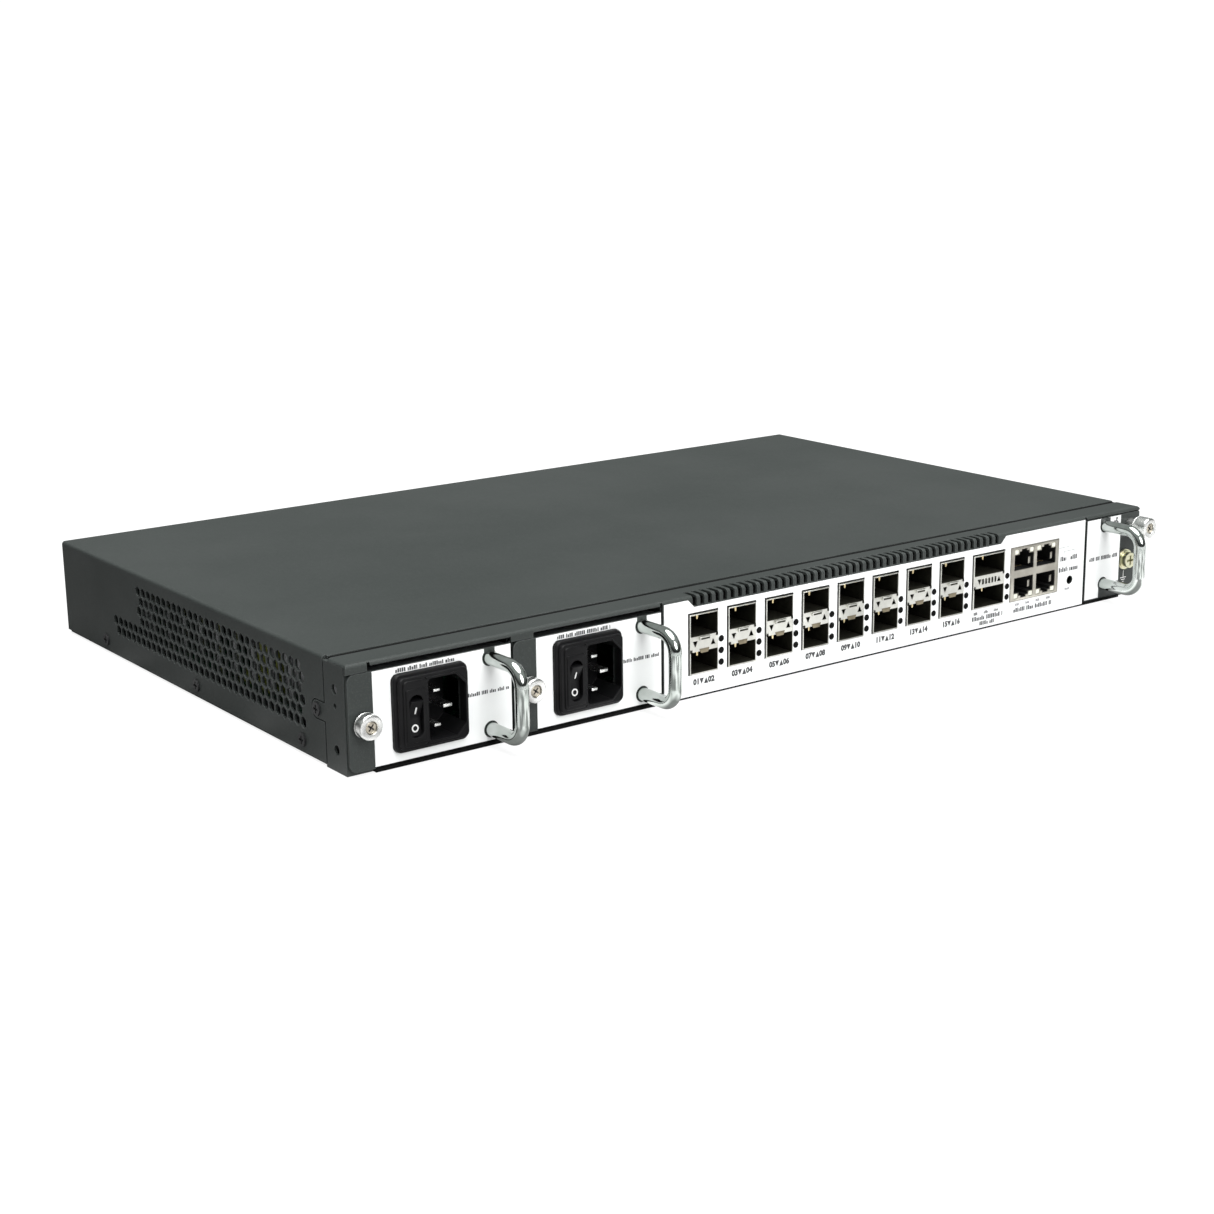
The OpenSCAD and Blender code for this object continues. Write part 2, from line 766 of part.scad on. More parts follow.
// An upright handle that stands out of the plane y = 0
module pull_handle() {
    r = handle_bend_r;
    half = handle_span / 2;
    for (way = [0, 1]) mirror([0, 0, way]) {
        translate([0, r - handle_reach, half]) rod_y(handle_bar_d / 2, handle_reach - r);
        translate([0, r - handle_reach, half - r]) bar_bend();
    }
    translate([0, -handle_reach, r - half]) cylinder(d = handle_bar_d, h = handle_span - 2 * r);
}

// A captive thumbscrew: a knob of a given length stands in front of y = 0, its shank goes back
module thumbscrew(lift, length) {
    knob_r = knob_d / 2;
    tip = -lift - 1 - length;
    difference() {
        union() {
            rotate([-90, 0, 0]) rotate_extrude() polygon([
                [0, tip],
                [knob_r - 0.8, tip],
                [knob_r, tip + 0.8],
                [knob_r, -lift - 1.5],
                [knob_r - 0.5, -lift - 1],
                [3.4, -lift - 1],
                [3.4, 0],
                [0, 0]
            ]);
            translate([0, -0.1, 0]) rod_y(shank_r, 7 - lift * 0.6);
        }
        translate([0, tip, 0]) rotate([0, 45, 0]) cross_recess(2.1, 1, 1.6);
    }
}

// ---- Power modules ----

// Holes in a label round a handle's legs, the upper one open towards the top edge, in x and z
module leg_notches(x, mid_z, top_edge) {
    for (z = [mid_z - handle_span / 2, mid_z + handle_span / 2])
        translate([x, z]) circle(notch_r);
    flat([x - notch_slot_w / 2, mid_z + handle_span / 2], [x + notch_slot_w / 2, top_edge]);
}

module psu_faceplate(n) {
    color(steel_grey) at_psu(n) front_sheet(plate_t) difference() {
        union() {
            round_flat([0, psu_plate_z[0]], [20, psu_plate_z[1]], 3);
            flat([ear_w, psu_plate_z[0]], [psu_plate_w, psu_plate_z[1]]);
        }
        translate([psu_screw_x, psu_screw_z]) circle(shank_r + 0.4);
        flat([inlet_x[0] + 2.6, inlet_z[0] + 2.4], [inlet_x[1] - 2.2, inlet_z[1] - 2.4]);
    }
}

module psu_label(n) {
    color(label_white) at_psu(n) translate([0, -0.25, 0]) front_sheet(0.25) difference() {
        flat([ear_w, psu_label_z[0]], [psu_plate_w - 0.2, psu_label_z[1]]);
        leg_notches(psu_handle_x, psu_handle_z, psu_label_z[1] + 1);
        round_flat([inlet_x[0] - 0.1, inlet_z[0] - 0.1], [inlet_x[1] + 0.1, inlet_z[1] + 0.1], 3);
    }
}

// The case is made of five flat panels: floor, lid, two vented sides and the back
module psu_case(n) {
    wall = 1;
    back = psu_case_len;
    x0 = psu_case_x[0];
    x1 = psu_case_x[1];
    side_z = [psu_case_z[0] + wall + panel_gap, psu_case_z[1] - wall - panel_gap];
    color("silver") at_psu(n) {
        for (z = [psu_case_z[0], psu_case_z[1] - wall]) span([x0, plate_t, z], [x1, back, z + wall]);
        for (x = [x0, x1 - wall]) translate([x, 0, 0]) side_sheet(wall) difference() {
            flat([plate_t, side_z[0]], [back, side_z[1]]);
            for (y = [34 : 16 : 178]) flat([y, 9], [y + 12, 36]);
        }
        // Back with a mouth for the board's tongue
        difference() {
            span([x0 + wall + panel_gap, back - wall, side_z[0]], [x1 - wall - panel_gap, back, side_z[1]]);
            span([tongue_x[0] - 1, back - 3, psu_board_z - 1],
                [tongue_x[1] + 1, back + 1, psu_board_z + board_t + 1]);
        }
    }
}

// Outline of the mains socket, chamfered away from the rocker, in x and z
module socket_outline() {
    cut = 4.4;
    x0 = socket_x[0];
    x1 = socket_x[1];
    z0 = inlet_mid_z - socket_h / 2;
    z1 = inlet_mid_z + socket_h / 2;
    polygon([[x0, z0], [x1 - cut, z0], [x1, z0 + cut], [x1, z1 - cut], [x1 - cut, z1], [x0, z1]]);
}

module psu_inlet(n) {
    step = 1.3;
    frame_x = [21.4, 31.8];
    frame_z = [inlet_mid_z - 12.8, inlet_mid_z + 12.8];
    pocket_x = [rocker_x[0] - 0.3, rocker_x[1] + 0.3];
    pocket_z = [rocker_z - rocker_h / 2 - 1.2, rocker_z + rocker_h / 2 + 1.2];
    color(plastic_black) at_psu(n) difference() {
        union() {
            // Flange in two steps, then the raised frame round the rocker
            translate([0, -inlet_flange_t, 0]) front_sheet(inlet_flange_t)
                round_flat([inlet_x[0], inlet_z[0]], [inlet_x[1], inlet_z[1]], 3);
            translate([0, socket_front, 0]) front_sheet(2)
                round_flat([inlet_x[0] + step, inlet_z[0] + step],
                    [inlet_x[1] - step * 0.7, inlet_z[1] - step], 2.4);
            translate([0, socket_front - 1, 0]) front_sheet(1.2)
                round_flat([frame_x[0], frame_z[0]], [frame_x[1], frame_z[1]], 2);
            // Body behind the plate
            span([inlet_x[0] + 2.8, -1, inlet_z[0] + 2.6], [inlet_x[1] - 2.4, 24, inlet_z[1] - 2.6]);
        }
        translate([0, socket_front - 1, 0]) front_sheet(socket_depth + 1) socket_outline();
        span([pocket_x[0], socket_front - 2, pocket_z[0]], [pocket_x[1], 9, pocket_z[1]]);
        // Bores for the rocker's pins
        translate([rocker_x[0] - rocker_pin_len - pin_gap, rocker_pivot_y, rocker_z])
            rod_x(rocker_pin_r + pin_gap, rocker_x[1] - rocker_x[0] + 2 * (rocker_pin_len + pin_gap));
    }
}

module psu_pins(n) {
    floor_y = socket_front + socket_depth;
    color(chrome) at_psu(n) for (pin = [[36.6, 7], [41.4, 0], [36.6, -7]]) {
        z = inlet_mid_z + pin[1];
        span([pin[0] - 2, floor_y - 13, z - 1], [pin[0] + 2, floor_y, z + 1]);
    }
}

// The rocker is a shallow V in y and z that leans on its pressed end, with a pin at each side
module psu_rocker(n) {
    half = rocker_h / 2;
    width = rocker_x[1] - rocker_x[0];
    color(plastic_black) at_psu(n) translate([rocker_x[0], rocker_pivot_y, rocker_z]) {
        rotate([rocker_tilt, 0, 0]) side_sheet(width) polygon([
            [-6.4, half - 0.6],
            [-5.8, half - 0.1],
            [-1, half - 0.6],
            [3.5, 3],
            [3.5, -3],
            [-1, 0.6 - half],
            [-5.8, 0.1 - half],
            [-6.4, 0.6 - half],
            [-4.6, 0]
        ]);
        translate([-rocker_pin_len, 0, 0]) rod_x(rocker_pin_r, width + 2 * rocker_pin_len);
    }
}

module psu_handle(n) {
    color(chrome) at_psu(n) translate([psu_handle_x, 0, psu_handle_z]) pull_handle();
}

module psu_thumbscrew(n) {
    color(chrome) at_psu(n) translate([psu_screw_x, 0, psu_screw_z]) thumbscrew(0, knob_len);
}

module psu_board(n) {
    x0 = psu_case_x[0] + 2;
    x1 = psu_case_x[1] - 2;
    top_z = psu_board_z + board_t;
    back = psu_case_len;
    color(board_green) at_psu(n) {
        span([x0, 28, psu_board_z], [x1, back - 2, top_z]);
        span([tongue_x[0], back - 3, psu_board_z], [tongue_x[1], back + tongue_len, top_z]);
        // Legs that stand on the case floor
        for (x = [x0 + 4, x1 - 4], y = [34, 190]) translate([x, y, 0])
            cylinder_z(2, psu_case_z[0] + 1, psu_board_z);
    }
    // Reservoir capacitors
    color([0.1, 0.1, 0.12]) at_psu(n) for (i = [0, 1])
        translate([58, 40 + i * 24, 0]) cylinder_z(9, top_z, 34);
}

module psu_transformer(n) {
    z0 = psu_board_z + board_t;
    color(zinc_yellow) at_psu(n) translate([17, 92, 0]) {
        span([0, 0, z0], [30, 28, z0 + 5]);
        span([0, 0, z0 + 22], [30, 28, z0 + 27]);
        span([4, 3, z0 + 5], [26, 25, z0 + 22]);
    }
}

module psu_heatsinks(n) {
    z0 = psu_board_z + board_t;
    color("silver") at_psu(n) for (p = [[16, 36], [52, 126]]) translate([p[0], p[1], z0]) {
        span([0, 0, 0], [3, 44, 26]);
        for (i = [0 : 5]) span([2, 2 + i * 8, 0], [12, 4 + i * 8, 26]);
    }
}

// ---- Fan tray ----

module fan_tray_faceplate() {
    color(steel_grey) at_front() front_sheet(plate_t) difference() {
        union() {
            flat([fan_plate_x[0], fan_plate_z[0]], [fan_plate_x[1], fan_plate_z[1]]);
            round_flat([fan_plate_x[1] - 6, fan_tab_z], [right_x - 0.2, fan_plate_z[1]], 0.8);
        }
        translate([fan_screw_x, fan_screw_z]) circle(shank_r + 0.4);
    }
}

module fan_tray_label() {
    color(label_white) at_front() translate([0, -0.25, 0]) front_sheet(0.25) difference() {
        flat([fan_plate_x[0] + 0.2, fan_plate_z[0] + 0.6], [fan_plate_x[1] - 0.8, fan_plate_z[1] - 0.3]);
        leg_notches(fan_handle_x, fan_handle_z, fan_plate_z[1] + 1);
    }
}

// The frame is made of a floor, two side panels with the air holes, and a back with the plug
module fan_tray_frame() {
    wall = 0.8;
    floor_z = [1.6, 2.7];
    side_z = [floor_z[1] + panel_gap, 40.4];
    back = fan_frame_len;
    x0 = fan_frame_x[0];
    x1 = fan_frame_x[1];
    color("silver") at_front() {
        span([x0, plate_t, floor_z[0]], [x1, back, floor_z[1]]);
        for (x = [x0, x1 - wall]) translate([x, 0, 0]) side_sheet(wall) difference() {
            flat([plate_t, side_z[0]], [back, side_z[1]]);
            for (i = [0 : fan_count - 1])
                translate([fan_first_y + i * fan_pitch, fan_mid_z]) circle(fan_bore_r);
        }
        span([x0 + wall + panel_gap, back - 1, side_z[0]], [x1 - wall - panel_gap, back, side_z[1]]);
        span([x0 + 5.6, back - 0.5, 5.6], [x1 - 5.6, back + 12, 10.4]);
    }
}

module fan_tray_handle() {
    color(chrome) at_front() translate([fan_handle_x, 0, fan_handle_z]) pull_handle();
}

module fan_tray_thumbscrew() {
    color(chrome) at_front() translate([fan_screw_x, 0, fan_screw_z])
        thumbscrew(fan_screw_lift, fan_knob_len);
}

// Place of fan i, with x at its intake face
module at_fan(i) {
    translate([fan_body_x[0], front_y + fan_first_y + (i - 1) * fan_pitch, fan_mid_z]) children();
}

module fan_frames() {
    depth = fan_body_x[1] - fan_body_x[0];
    half = fan_size / 2 - 0.05;
    color(plastic_black) for (i = [1 : fan_count]) at_fan(i) {
        difference() {
            span([0, -half, -half], [depth, half, half]);
            translate([-1, 0, 0]) rod_x(fan_bore_r, depth + 2);
            for (y = [-1, 1], z = [-1, 1])
                translate([-1, y * (half - 3), z * (half - 3)]) rod_x(1.6, depth + 2);
        }
        // Motor seat on three spokes at the exhaust face
        difference() {
            union() {
                translate([depth - 2, 0, 0]) rod_x(8.4, 2);
                for (turn = [0 : 120 : 240])
                    rotate([turn, 0, 0]) span([depth - 2, -1, 7], [depth, 1, fan_bore_r + 0.3]);
            }
            translate([depth - 5, 0, 0]) rod_x(1.55, 8);
        }
    }
}

module fan_rotor(i) {
    blade_count = 7;
    hub_r = 8;
    hub_len = 15;
    blade_half = 7.6;
    color([0.1, 0.1, 0.11]) at_fan(i) translate([2, 0, 0]) {
        rod_x(hub_r, hub_len);
        rod_x(1.5, hub_len + 2.5);
        for (turn = [0 : blade_count - 1]) rotate([turn * 360 / blade_count, 0, 0])
            translate([hub_len / 2, 0, 0]) rotate([0, 0, 48])
                span([-blade_half, -0.6, hub_r - 3], [blade_half, 0.6, sqrt(rotor_r ^ 2 - blade_half ^ 2)]);
    }
}

// ---- Every node ----

chassis_base();
front_strip();
port_panel();
port_label();
top_cover();
cover_screws();
ground_screw();
bay_dividers();
main_board();
board_standoffs();
switch_heatsink();
board_components();
power_backplane();
sfp_cage(1);  // sfp_cage_1
sfp_cage(2);  // sfp_cage_2
sfp_cage(3);  // sfp_cage_3
sfp_cage(4);  // sfp_cage_4
sfp_cage(5);  // sfp_cage_5
sfp_cage(6);  // sfp_cage_6
sfp_cage(7);  // sfp_cage_7
sfp_cage(8);  // sfp_cage_8
sfp_connectors();
uplink_cage();
rj45_shield();
rj45_insert();
light_pipes();
reset_switch();
reset_button();
psu_faceplate(1);  // psu_1_faceplate
psu_label(1);  // psu_1_label
psu_case(1);  // psu_1_case
psu_inlet(1);  // psu_1_inlet
psu_pins(1);  // psu_1_pins
psu_rocker(1);  // psu_1_rocker
psu_handle(1);  // psu_1_handle
psu_thumbscrew(1);  // psu_1_thumbscrew
psu_board(1);  // psu_1_board
psu_transformer(1);  // psu_1_transformer
psu_heatsinks(1);  // psu_1_heatsinks
psu_faceplate(2);  // psu_2_faceplate
psu_label(2);  // psu_2_label
psu_case(2);  // psu_2_case
psu_inlet(2);  // psu_2_inlet
psu_pins(2);  // psu_2_pins
psu_rocker(2);  // psu_2_rocker
psu_handle(2);  // psu_2_handle
psu_thumbscrew(2);  // psu_2_thumbscrew
psu_board(2);  // psu_2_board
psu_transformer(2);  // psu_2_transformer
psu_heatsinks(2);  // psu_2_heatsinks
fan_tray_faceplate();
fan_tray_label();
fan_tray_frame();
fan_tray_handle();
fan_tray_thumbscrew();
fan_frames();
fan_rotor(1);  // fan_rotor_1
fan_rotor(2);  // fan_rotor_2
fan_rotor(3);  // fan_rotor_3
fan_rotor(4);  // fan_rotor_4
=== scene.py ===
import json
import math
import random

import bmesh
import bpy
from mathutils import Matrix, Vector


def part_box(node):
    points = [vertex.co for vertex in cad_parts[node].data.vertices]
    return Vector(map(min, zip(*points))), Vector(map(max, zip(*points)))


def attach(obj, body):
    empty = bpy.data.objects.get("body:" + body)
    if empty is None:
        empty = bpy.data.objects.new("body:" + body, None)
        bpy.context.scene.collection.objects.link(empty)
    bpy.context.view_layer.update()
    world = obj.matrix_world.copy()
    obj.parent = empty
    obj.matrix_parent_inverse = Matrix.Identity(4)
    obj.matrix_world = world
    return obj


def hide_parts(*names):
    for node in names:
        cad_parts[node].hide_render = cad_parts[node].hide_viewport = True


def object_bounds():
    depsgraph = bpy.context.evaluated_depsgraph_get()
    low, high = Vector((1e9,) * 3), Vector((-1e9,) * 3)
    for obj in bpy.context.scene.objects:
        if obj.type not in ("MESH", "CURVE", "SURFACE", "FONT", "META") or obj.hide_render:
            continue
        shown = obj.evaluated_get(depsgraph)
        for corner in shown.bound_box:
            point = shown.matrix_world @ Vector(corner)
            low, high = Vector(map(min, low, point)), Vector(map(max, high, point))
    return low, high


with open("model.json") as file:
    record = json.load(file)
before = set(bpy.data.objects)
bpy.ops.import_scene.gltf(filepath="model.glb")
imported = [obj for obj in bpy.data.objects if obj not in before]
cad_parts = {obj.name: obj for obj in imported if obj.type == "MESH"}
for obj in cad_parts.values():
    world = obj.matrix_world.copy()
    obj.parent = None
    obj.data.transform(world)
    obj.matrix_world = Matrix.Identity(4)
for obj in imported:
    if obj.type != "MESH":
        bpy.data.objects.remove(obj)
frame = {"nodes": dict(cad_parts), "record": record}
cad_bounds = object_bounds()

# Looks of a rackmount network switch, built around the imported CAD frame.
# The CAD frame is in metres: +X right, +Y back, +Z up. Each Solid is drawn in millimetres from an origin in
# metres, with y counted backwards from the chassis's front face.
MM = 0.001
FRONT_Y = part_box("psu_1_faceplate")[0].y
FRONT = Vector((0, FRONT_Y, 0))
SMOOTH_ANGLE = math.radians(34)
dice = random.Random(7)


# ---------------------------------------------------------------- materials

def node_tree(material):
    """The material's node tree, its shader, and a function that adds a node and sets its properties."""
    material.use_nodes = True
    tree = material.node_tree

    def add(kind, **values):
        node = tree.nodes.new(kind)
        for key, value in values.items():
            setattr(node, key, value)
        return node

    return tree, tree.nodes["Principled BSDF"], add


def noise(tree, add, coords, scale, detail=3.0, stretch=(1, 1, 1)):
    """A noise texture in the object's own metres, scale being cycles per metre."""
    mapping = add("ShaderNodeMapping")
    mapping.inputs["Scale"].default_value = stretch
    texture = add("ShaderNodeTexNoise")
    texture.inputs["Scale"].default_value = scale
    texture.inputs["Detail"].default_value = detail
    tree.links.new(coords, mapping.inputs["Vector"])
    tree.links.new(mapping.outputs["Vector"], texture.inputs["Vector"])
    return texture.outputs["Fac"]


def remap(tree, add, value, low, high, out_low, out_high):
    """A value moved from one range to another, and kept inside it."""
    node = add("ShaderNodeMapRange")
    for name, number in (("From Min", low), ("From Max", high), ("To Min", out_low), ("To Max", out_high)):
        node.inputs[name].default_value = number
    tree.links.new(value, node.inputs["Value"])
    return node.outputs["Result"]


def mix_colour(tree, add, factor, first, second):
    """A colour mix; first and second are colours or sockets."""
    node = add("ShaderNodeMix", data_type="RGBA")
    tree.links.new(factor, node.inputs["Factor"])
    for index, colour in ((6, first), (7, second)):
        if isinstance(colour, (tuple, list)):
            node.inputs[index].default_value = (*colour, 1)
        else:
            tree.links.new(colour, node.inputs[index])
    return node.outputs[2]


def material(name, base, other, patch=40, rough=(0.4, 0.5), grain=(900, 0.15), edge=0.3, edge_tone=None,
             stretch=(1, 1, 1), fine=None, **sockets):
    """A procedural finish.

    base and other are the two tones that patches of `patch` cycles per metre mix. grain is the bump's
    cycles per metre and strength. edge is the radius in millimetres that edges are rounded by. The edge tone
    is the colour that edges are painted towards, with its strength. fine adds a second, finer speckle to
    the colour.
    """
    made = bpy.data.materials.new(name)
    tree, shader, add = node_tree(made)
    coords = add("ShaderNodeTexCoord").outputs["Object"]
    broad = noise(tree, add, coords, patch, 4.0, stretch)
    colour = mix_colour(tree, add, remap(tree, add, broad, 0.35, 0.65, 0, 1), base, other)
    if fine:
        speck = noise(tree, add, coords, fine[0], 1.0)
        colour = mix_colour(tree, add, remap(tree, add, speck, 0.55, 0.75, 0, fine[2]), colour, fine[1])
    smudge = noise(tree, add, coords, patch * 3.1, 5.0, stretch)
    tree.links.new(remap(tree, add, smudge, 0.3, 0.7, *rough), shader.inputs["Roughness"])
    rounded_edge = add("ShaderNodeBevel", samples=4)
    rounded_edge.inputs["Radius"].default_value = edge * MM
    bump = add("ShaderNodeBump")
    bump.inputs["Strength"].default_value = grain[1]
    bump.inputs["Distance"].default_value = 0.1 * MM
    tree.links.new(noise(tree, add, coords, grain[0], 2.0, stretch), bump.inputs["Height"])
    tree.links.new(rounded_edge.outputs["Normal"], bump.inputs["Normal"])
    tree.links.new(bump.outputs["Normal"], shader.inputs["Normal"])
    # Edges are painted towards the edge tone, in patches
    if edge_tone:
        wide = add("ShaderNodeBevel", samples=4)
        wide.inputs["Radius"].default_value = edge * 2.4 * MM
        dot = add("ShaderNodeVectorMath", operation="DOT_PRODUCT")
        tree.links.new(wide.outputs["Normal"], dot.inputs[0])
        tree.links.new(add("ShaderNodeNewGeometry").outputs["True Normal"], dot.inputs[1])
        turned = remap(tree, add, dot.outputs["Value"], 0.995, 0.9, 0, edge_tone[1])
        patchy = add("ShaderNodeMath", operation="MULTIPLY")
        tree.links.new(turned, patchy.inputs[0])
        tree.links.new(remap(tree, add, smudge, 0.35, 0.6, 0.2, 1), patchy.inputs[1])
        colour = mix_colour(tree, add, patchy.outputs[0], colour, edge_tone[0])
    tree.links.new(colour, shader.inputs["Base Color"])
    for socket, value in sockets.items():
        shader.inputs[socket.replace("_", " ")].default_value = value
    return made


# The powder coat's lighter edge tone is a painted highlight along its edges and bends
PAINT = material("powder_coat", (0.027, 0.032, 0.030), (0.034, 0.039, 0.037), 9, (0.46, 0.56), (1500, 0.35),
                 0.35, ((0.16, 0.17, 0.17), 0.35), fine=(2600, (0.07, 0.077, 0.075), 0.45),
                 Specular_IOR_Level=0.30)
WHITE = material("white_overlay", (0.87, 0.88, 0.875), (0.83, 0.84, 0.84), 14, (0.34, 0.42), (1200, 0.08), 0.15,
                 Specular_IOR_Level=0.4)
# The chrome's darker second tone, mixed in patches, is painted reflection: dark streaks of the surroundings
CHROME_WITH_PAINTED_STREAKS = material("bright_chrome", (0.60, 0.63, 0.61), (0.42, 0.46, 0.43), 90, (0.05, 0.12), (260, 0.07), 0.2,
                  Metallic=1.0)
KNOB = material("nickel_knob", (0.84, 0.84, 0.82), (0.76, 0.77, 0.76), 160, (0.20, 0.32), (2400, 0.08), 0.2,
                Metallic=1.0)
RECESS = material("plated_recess", (0.60, 0.55, 0.46), (0.50, 0.46, 0.38), 240, (0.30, 0.42), (2400, 0.1), 0.1,
                  Metallic=1.0)
# The latch tongue's dark brown, far darker than the cage's nickel, is painted shade where it hangs into the
# mouth under the band
TONGUE_SHADE = material("latch_brown_painted_shade", (0.30, 0.26, 0.18), (0.23, 0.20, 0.14), 240, (0.34, 0.48), (2400, 0.1), 0.1,
                  Metallic=1.0)
# The jack shield is painted darker along its edges
JACK = material("jack_nickel", (0.54, 0.52, 0.46), (0.42, 0.40, 0.35), 130, (0.32, 0.46), (1400, 0.12), 0.15,
                ((0.05, 0.045, 0.035), 0.9), Metallic=1.0)
CAGE = material("cage_nickel", (0.79, 0.79, 0.74), (0.68, 0.68, 0.63), 130, (0.32, 0.48), (1400, 0.12), 0.15,
                Metallic=1.0)
# Inside of the cages: dark sheets that paint the shade in the mouths, behind the windows and under the latch
# tabs
CAGE_SHADE = material("cage_painted_shade", (0.050, 0.048, 0.036), (0.030, 0.029, 0.022), 200, (0.42, 0.56), (1400, 0.15),
                 0.1, Metallic=0.7)
GOLD = material("spring_gold", (0.82, 0.70, 0.42), (0.72, 0.58, 0.32), 180, (0.22, 0.36), (1600, 0.08), 0.1,
                Metallic=1.0)
ZINC = material("yellow_zinc", (0.66, 0.68, 0.46), (0.70, 0.66, 0.50), 220, (0.24, 0.40), (1500, 0.10), 0.2,
                Metallic=1.0)
STEEL = material("galvanised", (0.53, 0.54, 0.55), (0.60, 0.61, 0.62), 130, (0.34, 0.44), (500, 0.10), 0.2,
                 Metallic=1.0)
DARK_SCREW = material("black_screw", (0.010, 0.010, 0.011), (0.020, 0.020, 0.021), 300, (0.34, 0.46),
                      (1800, 0.1), 0.15, Specular_IOR_Level=0.4)
MOULDING = material("inlet_moulding", (0.0045, 0.0045, 0.005), (0.0075, 0.0075, 0.008), 90, (0.30, 0.42),
                    (2600, 0.16), 0.35, Specular_IOR_Level=0.14)
# Matte black: the light pipes' own colour, and the colour of strips that paint shade
BLACK_AND_SHADE = material("black_and_painted_shade", (0.003, 0.003, 0.003), (0.006, 0.006, 0.006), 400, (0.8, 0.9), (3000, 0.3), 0.05,
                Specular_IOR_Level=0.1)
BLACK = material("black_plastic", (0.012, 0.012, 0.012), (0.019, 0.019, 0.019), 90, (0.42, 0.55), (1800, 0.2),
                 0.2, Specular_IOR_Level=0.35)
MARK_WHITE = material("white_mark", (0.80, 0.80, 0.79), (0.72, 0.72, 0.71), 400, (0.4, 0.5), (2000, 0.05), 0.02)
PRINT = material("black_print", (0.030, 0.030, 0.033), (0.050, 0.050, 0.053), 500, (0.5, 0.6), (2500, 0.05),
                 0.02)
GREY_PRINT = material("grey_print", (0.16, 0.16, 0.17), (0.22, 0.22, 0.23), 500, (0.5, 0.6), (2500, 0.05), 0.02)
BOARD = material("solder_mask", (0.010, 0.085, 0.035), (0.014, 0.120, 0.050), 500, (0.25, 0.4), (700, 0.25),
                 0.1, fine=(420, (0.03, 0.20, 0.10), 0.8))
SINK = material("extruded_aluminium", (0.62, 0.63, 0.64), (0.70, 0.71, 0.72), 120, (0.30, 0.42), (700, 0.12),
                0.15, stretch=(0.1, 1, 1), Metallic=1.0)
TAPE = material("winding_tape", (0.46, 0.50, 0.10), (0.55, 0.58, 0.16), 90, (0.30, 0.45), (500, 0.2), 0.4)
LENS = material("led_lens", (0.78, 0.78, 0.68), (0.70, 0.71, 0.60), 300, (0.14, 0.24), (900, 0.03), 0.1)

NODE_MATERIALS = {
    "chassis_paint": PAINT, "white_label": WHITE, "galvanised_steel": STEEL, "bright_chrome": CHROME_WITH_PAINTED_STREAKS,
    "screw_nickel": KNOB, "screw_black": DARK_SCREW, "zinc_yellow": ZINC, "inlet_black": MOULDING,
    "black_plastic": BLACK, "cage_nickel": CAGE, "board_green": BOARD, "heatsink_aluminium": SINK,
    "transformer_tape": TAPE,
}


def paint_cad_nodes():
    """Gives every CAD node the material of its slot."""
    for row in frame["record"]["subparts"]:
        mesh = frame["nodes"][row["node"]].data
        mesh.materials.clear()
        mesh.materials.append(NODE_MATERIALS[row["material_slot"]])


# ---------------------------------------------------------------- mesh code

def smooth_faces(bm):
    """Smooth shading, broken at edges sharper than SMOOTH_ANGLE."""
    for face in bm.faces:
        face.smooth = True
    for edge in bm.edges:
        edge.smooth = len(edge.link_faces) == 2 and edge.calc_face_angle(0) < SMOOTH_ANGLE


